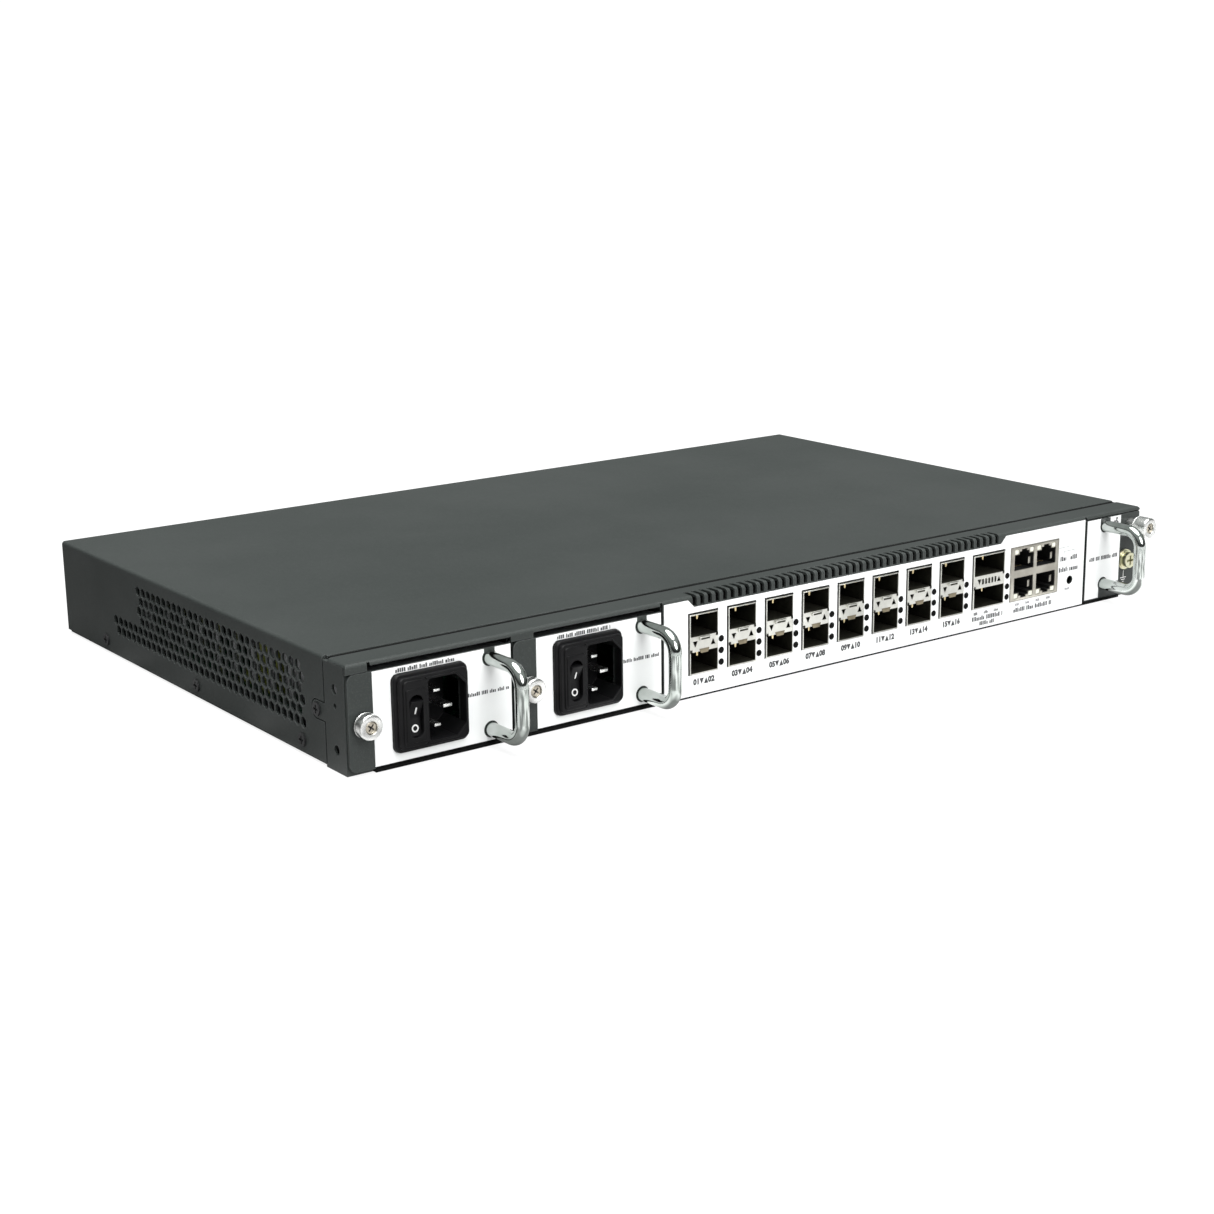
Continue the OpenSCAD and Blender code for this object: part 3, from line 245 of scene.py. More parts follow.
class Solid:
    """Collects closed solids into one mesh, in millimetres from an origin in metres."""

    def __init__(self, origin=FRONT):
        self.bm = bmesh.new()
        self.origin = Vector(origin)

    def _bevel(self, faces, width, segments, keep=lambda edge: True):
        if width > 0:
            edges = {e for f in faces for e in f.edges if keep(e)}
            bmesh.ops.bevel(self.bm, geom=list(edges), offset=width, segments=segments, profile=0.5,
                            affect="EDGES", clamp_overlap=True)

    def _loop_solid(self, rings):
        """Faces between rings of vertices, capped at both ends; a ring of one vertex is a pole."""
        faces = []
        for a, b in zip(rings, rings[1:]):
            count = max(len(a), len(b))
            for i in range(count):
                j = (i + 1) % count
                if len(a) == 1:
                    corners = (a[0], b[j], b[i])
                elif len(b) == 1:
                    corners = (a[i], a[j], b[0])
                else:
                    corners = (a[i], a[j], b[j], b[i])
                faces.append(self.bm.faces.new(corners))
        for ring in (rings[0], rings[-1]):
            if len(ring) > 2:
                faces.append(self.bm.faces.new(ring))
        bmesh.ops.recalc_face_normals(self.bm, faces=faces)
        return faces

    def prism(self, outline, start, stop, axis="Y", bevel=0.0, segments=2, ends="both"):
        """An outline extruded along an axis. Outline points are the other two coordinates, in X, Y, Z order."""
        place = {"X": lambda u, v, t: (t, u, v), "Y": lambda u, v, t: (u, t, v),
                 "Z": lambda u, v, t: (u, v, t)}[axis]
        rings = [[self.bm.verts.new(place(u, v, t)) for u, v in outline] for t in (start, stop)]
        index = "XYZ".index(axis)
        levels = {"both": (start, stop), "start": (start,), "stop": (stop,)}[ends]
        self._bevel(self._loop_solid(rings), bevel, segments,
                    lambda e: any(all(abs(v.co[index] - t) < 1e-5 for v in e.verts) for t in levels))
        return self

    def box(self, low, high, bevel=0.0, segments=2):
        """A box with all its edges rounded."""
        corners = ((low[0], low[1]), (high[0], low[1]), (high[0], high[1]), (low[0], high[1]))
        rings = [[self.bm.verts.new((x, y, z)) for x, y in corners] for z in (low[2], high[2])]
        self._bevel(self._loop_solid(rings), bevel, segments)
        return self

    def lathe(self, profile, centre, axis="Y", steps=64, ripple=None):
        """Points (radius, distance) turned about an axis through centre. ripple is (first, last, count, depth):
        profile points first to last are pressed in by depth, count times round."""
        turn = {"X": lambda c, s, t: (t, c, s), "Y": lambda c, s, t: (c, t, s),
                "Z": lambda c, s, t: (c, s, t)}[axis]
        rings = []
        for index, (radius, t) in enumerate(profile):
            if radius == 0:
                rings.append([self.bm.verts.new(Vector(centre) + Vector(turn(0, 0, t)))])
                continue
            ring = []
            for i in range(steps):
                r = radius
                if ripple and ripple[0] <= index <= ripple[1]:
                    r -= ripple[3] * (0.5 - 0.5 * math.cos(2 * math.pi * ripple[2] * i / steps))
                angle = 2 * math.pi * i / steps
                ring.append(self.bm.verts.new(
                    Vector(centre) + Vector(turn(r * math.cos(angle), r * math.sin(angle), t))))
            rings.append(ring)
        self._loop_solid(rings)
        return self

    def sweep(self, path, radius, sides=16):
        """A round bar along a path."""
        points = [Vector(p) for p in path]
        tangents = [(points[min(i + 1, len(points) - 1)] - points[max(i - 1, 0)]).normalized()
                    for i in range(len(points))]
        side = tangents[0].orthogonal().normalized()
        rings = []
        for point, tangent in zip(points, tangents):
            side = (side - tangent * side.dot(tangent)).normalized()
            up = tangent.cross(side)
            rings.append([self.bm.verts.new(point + side * radius * math.cos(a) + up * radius * math.sin(a))
                          for a in (2 * math.pi * k / sides for k in range(sides))])
        self._loop_solid(rings)
        return self

    def figures(self, words, x, y, z, height):
        """Thin figures that read from the front, centred at x and z, with their back at y."""
        curve = bpy.data.curves.new("figures", "FONT")
        curve.body, curve.size, curve.extrude, curve.offset = words, height * 1.4, 0.01, height * 0.085
        curve.align_x, curve.align_y, curve.resolution_u = "CENTER", "CENTER", 2
        holder = bpy.data.objects.new("figures", curve)
        bpy.context.scene.collection.objects.link(holder)
        bpy.context.view_layer.update()
        mesh = bpy.data.meshes.new_from_object(holder.evaluated_get(bpy.context.evaluated_depsgraph_get()))
        bpy.data.objects.remove(holder)
        bpy.data.curves.remove(curve)
        mesh.transform(Matrix.Translation((x, y - 0.01, z)) @ Matrix.Rotation(math.pi / 2, 4, "X"))
        self.bm.from_mesh(mesh)
        bpy.data.meshes.remove(mesh)
        bmesh.ops.remove_doubles(self.bm, verts=self.bm.verts, dist=1e-4)
        return self

    def mark(self):
        """Where the next vertices start, for turn()."""
        return len(self.bm.verts)

    def turn(self, mark, degrees, axis, centre=(0, 0, 0)):
        """Turns the vertices made since a mark about a point."""
        self.bm.verts.ensure_lookup_table()
        bmesh.ops.rotate(self.bm, verts=self.bm.verts[mark:], cent=centre,
                         matrix=Matrix.Rotation(math.radians(degrees), 3, axis))
        return self

    def object(self, name):
        """Ends the solid as a plain object, in metres."""
        mesh = bpy.data.meshes.new(name)
        for vert in self.bm.verts:
            vert.co = vert.co * MM + self.origin
        smooth_faces(self.bm)
        self.bm.to_mesh(mesh)
        self.bm.free()
        made = bpy.data.objects.new(name, mesh)
        bpy.context.scene.collection.objects.link(made)
        return made

    def piece(self, name, look, body, slot, replaces=()):
        """Ends the solid as a named piece that rides on a body."""
        return dress(self.object(name), look, body, replaces)


def dress(made, look, body, replaces=()):
    """Gives an object its finish and body, and hides the CAD nodes that it stands for."""
    made.data.materials.clear()
    made.data.materials.append(look)
    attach(made, body)
    if replaces:
        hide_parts(*replaces)
    return made


def cut(made, *cutters):
    """Takes cutter objects out of an object for good, then deletes them."""
    for cutter in cutters:
        modifier = made.modifiers.new("cut", "BOOLEAN")
        modifier.object = cutter
        modifier.operation = "DIFFERENCE"
        modifier.solver = "EXACT"
        modifier.use_self = True
    bpy.context.view_layer.update()
    result = bpy.data.meshes.new_from_object(made.evaluated_get(bpy.context.evaluated_depsgraph_get()))
    made.modifiers.clear()
    made.data = result
    for cutter in cutters:
        bpy.data.objects.remove(cutter)
    bm = bmesh.new()
    bm.from_mesh(result)
    bmesh.ops.remove_doubles(bm, verts=bm.verts, dist=1e-7)
    smooth_faces(bm)
    bm.to_mesh(result)
    bm.free()
    return made


def rounded(x0, z0, x1, z1, radius, steps=6):
    """Outline of a rectangle with round corners."""
    corners = ((x1 - radius, z1 - radius, 0), (x0 + radius, z1 - radius, 90),
               (x0 + radius, z0 + radius, 180), (x1 - radius, z0 + radius, 270))
    angles = [[math.radians(a + 90 * k / steps) for k in range(steps + 1)] for _, _, a in corners]
    return [(x + radius * math.cos(angle), z + radius * math.sin(angle))
            for (x, z, _), row in zip(corners, angles) for angle in row]


def local_box(node, origin=FRONT):
    """A CAD node's box in a solid's millimetres."""
    low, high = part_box(node)
    return (low - origin) / MM, (high - origin) / MM


def module_origin(prefix):
    """Where a module's own x, y and z start: its ear's left edge, the front face, the chassis floor."""
    return Vector((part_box(prefix + "_faceplate")[0].x, FRONT_Y, 0))


# ---------------------------------------------------------------- handles and screws

BEND_R = 7.5
MODULES = (("psu_1", "psu_1_screw", 5.2), ("psu_2", "psu_2_screw", 5.2), ("fan_tray", "fan_tray_screw", 8))


def handle_path(x, back, front, low, high):
    """The bar's centre line: out along a leg, round a bend, down, and back."""
    path = [(x, back, high), (x, front + BEND_R + 2, high)]
    for centre_z, first in ((high - BEND_R, 90), (low + BEND_R, 0)):
        for k in range(17):
            angle = math.radians(first - 90 * k / 16)
            path.append((x, front + BEND_R - BEND_R * math.cos(angle), centre_z + BEND_R * math.sin(angle)))
    return path + [(x, front + BEND_R + 2, low), (x, back, low)]


def handles():
    """A bent chrome bar for every module."""
    for body, _, _ in MODULES:
        low, high = local_box(body + "_handle")
        r = (high.x - low.x) / 2
        bar = Solid().sweep(handle_path(low.x + r, high.y, low.y + r, low.z + r, high.z - r), r, 40)
        bar.piece(body + "_pull_bar", CHROME_WITH_PAINTED_STREAKS, body, "bright_chrome", [body + "_handle"])


def cross_blades(x, front, z, arm, width, start_y, depth, spin):
    """Two crossed tapered blades, start_y to depth behind a face at front."""
    blade = Solid()
    for turn in (0, 90):
        start = blade.mark()
        blade.box((-arm, start_y, -width / 2), (arm, depth, width / 2))
        blade.bm.verts.ensure_lookup_table()
        for vert in blade.bm.verts[start:]:
            if vert.co.y > start_y + 0.01:
                vert.co.x *= 0.55
        blade.turn(start, turn + spin, "Y")
    for vert in blade.bm.verts:
        vert.co += Vector((x, front, z))
    return blade


def thumbscrews():
    """Smooth plated knobs on their collars, each with a fine knurl band and a sunk cross."""
    for body, screw, end in MODULES:
        low, high = local_box(body + "_thumbscrew")
        r, front = (high.x - low.x) / 2, low.y
        x, z, back = low.x + r, low.z + r, -front
        profile = [(0, 1.3), (2.3, 1.3), (2.45, 0.9), (2.5, 0.2), (2.65, 0), (r - 0.9, 0.05), (r - 0.35, 0.22),
                   (r - 0.06, 0.6), (r, 1.0), (r, end - 1.9), (r - 0.05, end - 1.8), (r - 0.05, end - 0.9),
                   (r, end - 0.8), (r - 0.25, end - 0.2), (r - 0.7, end), (3.5, end), (3.35, end + 0.2),
                   (3.35, back - 0.2), (3.2, back), (1.85, back), (1.85, high.y - front - 0.7),
                   (1.2, high.y - front), (0, high.y - front)]
        Solid().lathe([(radius, front + t) for radius, t in profile], (x, 0, z), steps=144,
                      ripple=(10, 11, 48, 0.2)).piece(body + "_knurled_knob", KNOB, screw, "screw_nickel",
                                                     [body + "_thumbscrew"])
        core = Solid().lathe([(0, front + 0.45), (1.9, front + 0.45), (2.2, front + 0.6), (2.2, front + 2),
                              (0, front + 2)], (x, 0, z), steps=48).object(body + "_cross_head")
        cut(core, cross_blades(x, front + 0.45, z, 1.8, 0.66, -0.5, 1.2, 38).object("cutter"))
        dress(core, RECESS, screw)
        cross_blades(x, front + 0.45, z, 1.4, 0.55, 0.35, 1.15, 38).piece(
            body + "_cross_shade", DARK_SCREW, screw, "screw_nickel")


# ---------------------------------------------------------------- mains inlets

PIVOT = Vector((26.5, 1.6, 19.9))
ROCKER_TILT = 9
SOCKET = [(33.4, 8.9), (44.4, 8.9), (48.8, 13.3), (48.8, 28.9), (44.4, 33.3), (33.4, 33.3), (32.55, 32.95),
          (32.2, 32.1), (32.2, 10.1), (32.55, 9.25)]
SOCKET_RIM = [(31.5, 8.1), (44.7, 8.1), (49.6, 13.0), (49.6, 29.2), (44.7, 34.1), (31.5, 34.1)]


def inlet(module):
    """The moulding: a flange in two steps, a raised rocker frame, a rimmed socket, and the body behind."""
    origin = module_origin(module)
    shell = Solid(origin)
    shell.prism(rounded(18.4, 5.7, 51.2, 36.5, 3), -2.2, 0, bevel=0.8, segments=3, ends="start")
    shell.prism(rounded(19.7, 7, 50.3, 35.2, 2.4), -3.8, -1.5, bevel=0.5, segments=3, ends="start")
    shell.prism(SOCKET_RIM, -4.3, -3, bevel=0.35, ends="start")
    shell.prism(rounded(21.3, 8.2, 31.9, 34, 1.8), -4.4, -3, bevel=0.4, segments=3, ends="start")
    shell.prism(rounded(22.2, 9.7, 31, 30.7, 1), -4.8, -4, bevel=0.25, ends="start")
    shell.box((21.2, -1, 8.3), (48.8, 24, 33.9), 0.5)
    moulding = shell.object(module + "_inlet_moulding")
    mouth = Solid(origin).prism(SOCKET, -6, 12.2)
    lip = Solid(origin).prism(SOCKET, -6, -3.9)
    pocket = Solid(origin).prism(rounded(23.5, 11.5, 29.5, 28.3, 2.95, 10), -6, 9)
    cut(moulding, mouth.object("cutter"), lip.object("cutter"), pocket.object("cutter"))
    dress(moulding, MOULDING, module, [module + "_inlet"])

    blades = Solid(origin)
    for x, z, half, thick in ((37.4, 27.5, 1.5, 0.75), (42.1, 20.6, 2, 0.85), (37.4, 13.7, 1.5, 0.75)):
        start = blades.mark()
        blades.box((x - half, -1.8, z - thick), (x + half, 12.2, z + thick), 0.3, 3)
        blades.bm.verts.ensure_lookup_table()
        for vert in blades.bm.verts[start:]:
            if vert.co.y < -0.8:
                vert.co.z = z + (vert.co.z - z) * 0.8
    blades.piece(module + "_blades", KNOB, module, "screw_nickel", [module + "_pins"])


def rocker(module):
    """A shallow V that leans out at its upper end, with a bar and a ring marked on its two faces."""
    origin = module_origin(module)
    half = 7.2
    face = [(-4.6 - 1.8 * (abs(k) / 12) ** 1.2, half * k / 12) for k in range(-12, 13)]
    ends = [(-1, half - 0.3), (3.4, 3), (3.4, -3), (-1, 0.3 - half)]
    key = Solid(origin)
    key.prism([(y, z) for y, z in face + ends], -2.7, 2.7, axis="X", bevel=0.5, segments=3)
    key.lathe([(0, -3.75), (1.1, -3.75), (1.2, -3.65), (1.2, 3.65), (1.1, 3.75), (0, 3.75)], (0, 0, 0), "X", 24)
    marks = Solid(origin)
    for way, draw in ((1, lambda y: marks.prism(rounded(-0.32, 1.5, 0.32, 4.6, 0.3, 3), y, y + 0.3)),
                      (-1, lambda y: ring(marks, 0, y, -4.3, 1.5, 0.95, 0.3))):
        start = marks.mark()
        draw(-4.62)
        marks.turn(start, way * 14, "X", (0, -4.6, 0))
    for part in (key, marks):
        part.turn(0, ROCKER_TILT, "X")
        for vert in part.bm.verts:
            vert.co += PIVOT
    key.piece(module + "_rocker_key", MOULDING, module + "_switch", "inlet_black", [module + "_rocker"])
    marks.piece(module + "_rocker_marks", MARK_WHITE, module + "_switch", "inlet_black")


def ring(solid, x, y, z, outer, inner, depth, steps=36):
    """A flat ring that faces the front, with a square section."""
    bm = solid.bm
    rows = [[bm.verts.new((x + r * math.cos(a), t, z + r * math.sin(a)))
             for a in (2 * math.pi * k / steps for k in range(steps))]
            for r, t in ((outer, y), (outer, y + depth), (inner, y + depth), (inner, y))]
    faces = []
    for a, b in zip(rows, rows[1:] + rows[:1]):
        for i in range(steps):
            j = (i + 1) % steps
            faces.append(bm.faces.new((a[i], a[j], b[j], b[i])))
    bmesh.ops.recalc_face_normals(bm, faces=faces)
    return solid


# ---------------------------------------------------------------- transceiver cages

CAGE_FRONT = -0.6
PORT_H = 9.2
RIM = 0.4


def arrow(x, z, way, half_w=1.3, half_h=1.35):
    """Outline of a triangle that points up or down."""
    return [(x - half_w, z - way * half_h), (x + half_w, z - way * half_h), (x, z + way * half_h)][::way]


def cage_mesh(w, z0, z1, mouth_w, slots):
    """The nickel shell of a stacked cage, drawn from x = 0, as an object to be copied or used."""
    side = (w - mouth_w) / 2
    low_top, high_bottom = z0 + RIM + PORT_H, z1 - RIM - PORT_H
    mid_x, mid_z = w / 2, (low_top + high_bottom) / 2
    shell = Solid((0, FRONT_Y, 0))
    shell.box((0, CAGE_FRONT, z0), (w, 50, z1), 0.2)
    made = shell.object("cage")
    cutters = [Solid().box((side, -2, z0 + RIM), (w - side, 49.4, low_top)),
               Solid().box((side, -2, high_bottom), (w - side, 49.4, z1 - RIM)),
               Solid().box((side, CAGE_FRONT + 0.4, low_top + 0.5), (w - side, 51, high_bottom - 0.5))]
    windows = Solid()
    windows.prism(arrow(side + mouth_w * 0.17, mid_z, -1), -2, 2)
    windows.prism(arrow(w - side - mouth_w * 0.17, mid_z, 1), -2, 2)
    for k in range(slots):
        x = mid_x + (k - (slots - 1) / 2) * 2.05
        windows.prism(rounded(x - 0.62, mid_z - 1.35, x + 0.62, mid_z + 1.35, 0.25, 2), -2, 2)
    if not slots:
        windows.box((mid_x - 2.5, -2, high_bottom - 1.75), (mid_x + 2.5, 0.4, high_bottom - 0.95))
    # Punched rests beside the mouths give the band its stepped outline
    windows.box((side - 0.3, -2, low_top - 0.4), (side + 0.9, 2, low_top + 1.1))
    windows.box((w - side - 0.9, -2, high_bottom - 1.1), (w - side + 0.3, 2, high_bottom + 0.4))
    cutters.append(windows)
    cut(made, *[c.object("cutter") for c in cutters])
    return made, side, low_top, high_bottom


def cage_fittings(origin, w, z0, z1, side, low_top, high_bottom, latch):
    """Small sheet parts of a cage: bright latch tab, brown latch tongue painted dark as shade, dark sheets of
    painted shade in the mouths, behind the windows and under the tab, and spring fingers.
    """
    mid_x = w / 2
    bright, brown, shade_sheets, gold = Solid(origin), Solid(origin), Solid(origin), Solid(origin)
    if latch:
        top = high_bottom - 0.15
        bright.box((mid_x - 2.9, -1.75, top - 0.5), (mid_x + 2.9, -0.3, top), 0.12)
        # A dark strip under the latch tab: painted shadow
        shade_sheets.box((mid_x - 2.25, -1.55, top - 1.3), (mid_x + 2.25, -0.62, top - 0.55), 0.05)
        for way in (-1, 1):
            x = mid_x + way * 2.6
            bright.box((x - 0.3, -1.6, top - 1.3), (x + 0.3, -0.5, top - 0.2), 0.1)
        # The tongue hangs into the mouth under the band; its dark brown is painted shade
        brown.prism([(mid_x - 2.6, low_top + 1.0), (mid_x - 1.9, low_top - 0.8), (mid_x + 1.9, low_top - 0.8),
                     (mid_x + 2.6, low_top + 1.0)], -0.85, -0.45, bevel=0.1)
    # Dark screen of painted shade behind the windows of the band
    shade_sheets.box((side + 0.05, 1.2, low_top + 0.55), (w - side - 0.05, 1.4, high_bottom - 0.55))
    # Spring fingers on the inner walls, a little way in
    for floor, ceiling in ((z0 + RIM, low_top), (high_bottom, z1 - RIM)):
        for x in (mid_x - 4, mid_x + 4):
            start = gold.mark()
            gold.box((x - 0.7, 1.2, ceiling - 0.75), (x + 0.7, 7.5, ceiling - 0.55), 0.06)
            gold.turn(start, 4, "X", (x, 1.2, ceiling))
        # Dark sheets of painted shade on the inner walls, so that the inside reads as deep as it is
        shade_sheets.box((side + 0.02, -0.3, floor + 0.02), (side + 0.1, 49.3, ceiling - 0.02))
        shade_sheets.box((w - side - 0.1, -0.3, floor + 0.02), (w - side - 0.02, 49.3, ceiling - 0.02))
        shade_sheets.box((side + 0.12, -0.3, floor + 0.02), (w - side - 0.12, 49.3, floor + 0.1))
        shade_sheets.box((side + 0.12, -0.3, ceiling - 0.1), (w - side - 0.12, 49.3, ceiling - 0.02))
        # Raised dimples on the ceiling and the release tab that hangs in the middle
        x = mid_x - 0.9
        gold.prism([(x - 0.6, ceiling - 0.9), (x + 0.6, ceiling - 0.9), (x + 0.35, ceiling - 2.9),
                    (x - 0.35, ceiling - 2.9)], 3, 3.3, bevel=0.08)
        gold.box((x - 0.4, 3, ceiling - 1), (x + 0.4, 4.5, ceiling - 0.12), 0.08)
    return bright, brown, shade_sheets, gold


def cages():
    """Eight stacked cages and the wide one."""
    shell = None
    for number in range(1, 9):
        node = f"sfp_cage_{number}"
        low, high = local_box(node)
        w = high.x - low.x
        origin = Vector((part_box(node)[0].x, FRONT_Y, 0))
        if shell is None:
            shell, side, low_top, high_bottom = cage_mesh(w, low.z, high.z, w - 0.8, 0)
            first_mesh = shell.data
        made = bpy.data.objects.new(f"port_cage_{number}", first_mesh.copy())
        bpy.context.scene.collection.objects.link(made)
        made.data.transform(Matrix.Translation((origin.x, 0, 0)))
        dress(made, CAGE, "root", [node])
        fit_cage(f"port_{number}", cage_fittings(origin, w, low.z, high.z, side, low_top, high_bottom, True))
    bpy.data.objects.remove(shell)
    low, high = local_box("uplink_cage")
    w = high.x - low.x
    made, side, low_top, high_bottom = cage_mesh(w, low.z, high.z, w - 1.2, 5)
    origin = Vector((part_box("uplink_cage")[0].x, FRONT_Y, 0))
    made.name = "uplink_port_cage"
    made.data.transform(Matrix.Translation((origin.x, 0, 0)))
    dress(made, CAGE, "root", ["uplink_cage"])
    fit_cage("uplink", cage_fittings(origin, w, low.z, high.z, side, low_top, high_bottom, False))


def fit_cage(name, parts):
    """Ends a cage's small sheet parts as pieces."""
    bright, brown, shade_sheets, gold = parts
    if bright.bm.verts:
        bright.piece(name + "_latch_tab", CAGE, "root", "cage_nickel")
        brown.piece(name + "_latch_tongue", TONGUE_SHADE, "root", "cage_nickel")
    shade_sheets.piece(name + "_liner", CAGE_SHADE, "root", "cage_nickel")
    gold.piece(name + "_springs", GOLD, "root", "cage_nickel")


# ---------------------------------------------------------------- modular jacks

JACKS = [(column, way) for column in (0.27, 0.73) for way in (-1, 1)]
ROW_Z, LENS_X, LENS_Z = 5.6, 5, 4.95


def jack_mouth(x, z, way):
    """Outline of a jack's mouth with its stepped latch notch."""
    outline = [(-6.4, -3.8), (6.4, -3.8), (6.4, 3.6), (3.3, 3.6), (3.3, 5), (1.8, 5), (1.8, 6), (-1.8, 6),
               (-1.8, 5), (-3.3, 5), (-3.3, 3.6), (-6.4, 3.6)]
    return [(x + u, z + way * v) for u, v in outline][::way]


def jacks():
    """A two by two block of jacks: shield, black body, contact wires, lenses and shield springs."""
    low, high = local_box("rj45_shield")
    w, mid_z = high.x - low.x, (low.z + high.z) / 2
    places = [(low.x + w * column, mid_z + way * ROW_Z, way) for column, way in JACKS]
    shield = Solid().box(tuple(low), tuple(high), 0.25).object("jack_shield")
    hollow = Solid().box((low.x + 0.5, -0.1, low.z + 0.5), (high.x - 0.5, high.y - 0.5, high.z - 0.5))
    openings = Solid()
    for x, z, way in places:
        openings.prism(jack_mouth(x, z, way), -2, 2)
    corners = Solid()
    for x, z, way in places:
        for side in (-1, 1):
            lx, lz = x + side * LENS_X, z + way * LENS_Z
            corners.prism(rounded(lx - 1.35, lz - 1.2, lx + 1.35, lz + 1.2, 0.3, 2), -2, 2)
    cut(shield, hollow.object("cutter"), openings.object("cutter"), corners.object("cutter"))
    dress(shield, JACK, "root", ["rj45_shield"])

    body = Solid().box((low.x + 0.6, 0.1, low.z + 0.6), (high.x - 0.6, 25, high.z - 0.6)).object("jack_body")
    hollows = Solid()
    for x, z, way in places:
        hollows.prism(jack_mouth(x, z, way), -1, 18)
    cut(body, hollows.object("cutter"))
    dress(body, BLACK, "root", ["rj45_insert"])

    wires, lenses, springs = Solid(), Solid(), Solid()
    for x, z, way in places:
        for wire in range(8):
            wx = x + (wire - 3.5) * 1.02
            start = wires.mark()
            wires.box((wx - 0.18, 4.5, z - way * 3.3 - 0.15), (wx + 0.18, 15.5, z - way * 3.3 + 0.15), 0.06, 1)
            wires.turn(start, -way * 9, "X", (wx, 4.5, z - way * 3.3))
        for side in (-1, 1):
            lx, lz = x + side * LENS_X, z + way * LENS_Z
            lenses.prism(rounded(lx - 1.25, lz - 1.1, lx + 1.25, lz + 1.1, 0.3, 2), -0.5, 6,
                         bevel=0.15, ends="start")
        start = springs.mark()
        springs.box((x + 2.6, 0.2, z - 1.5), (x + 4.6, 0.45, z + 1.7), 0.1)
        springs.turn(start, 14, "Z", (x + 5.8, 0.3, z))
    wires.piece("jack_contact_wires", GOLD, "root", "black_plastic")
    lenses.piece("jack_lenses", LENS, "root", "black_plastic")
    springs.piece("jack_shield_springs", JACK, "root", "cage_nickel")
    # Spring fingers that press on the panel round the shield
    fingers = Solid()
    for z in (mid_z - 7.5, mid_z, mid_z + 6.5):
        fingers.prism([(low.x - 0.22, -0.2), (low.x + 0.1, -0.5), (low.x + 0.1, 4), (low.x - 0.22, 3)],
                      z - 1.1, z + 1.1, axis="Z", bevel=0.06)
    fingers.piece("jack_panel_fingers", JACK, "root", "cage_nickel")


PIPE_R, PIPE_PITCH = 1.2, 20.7


def light_pipes():
    """Black domed ends of the light pipes, three beside every cage."""
    low, high = local_box("light_pipes")
    r = PIPE_R
    domes = Solid()
    xs = [low.x + r + PIPE_PITCH * k for k in range(8)] + [high.x - r]
    for x in xs:
        for z in (low.z + r, (low.z + high.z) / 2, high.z - r):
            cap, front = r + 0.2, low.y - 0.4
            profile = [(0, front)] + [(cap * math.sin(a), front + 0.35 * (1 - math.cos(a)))
                                      for a in (math.pi / 2 * k / 6 for k in range(1, 7))]
            domes.lathe(profile + [(cap, low.y + 0.04), (r, low.y + 0.04), (r, high.y), (0, high.y)],
                        (x, 0, z), steps=32)
    domes.piece("status_pipe_ends", BLACK_AND_SHADE, "root", "black_plastic", ["light_pipes"])


# ---------------------------------------------------------------- printed marks and painted shade

INK = 0.02


def dashes(solid, x0, x1, y, z, height):
    """A line of plain upright blocks in groups, standing in for small print."""
    x, left = x0, dice.randint(4, 8)
    while x < x1 - 0.3:
        length = min(dice.uniform(0.28, 0.5) * height, x1 - x)
        short = dice.choice((1, 1, 0.72))
        base = z - height / 2
        solid.prism(rounded(x, base, x + length, base + height * short, 0.05, 1), y - INK, y)
        left -= 1
        x += length + (0.14 if left else 0.6) * height
        left = left or dice.randint(3, 8)


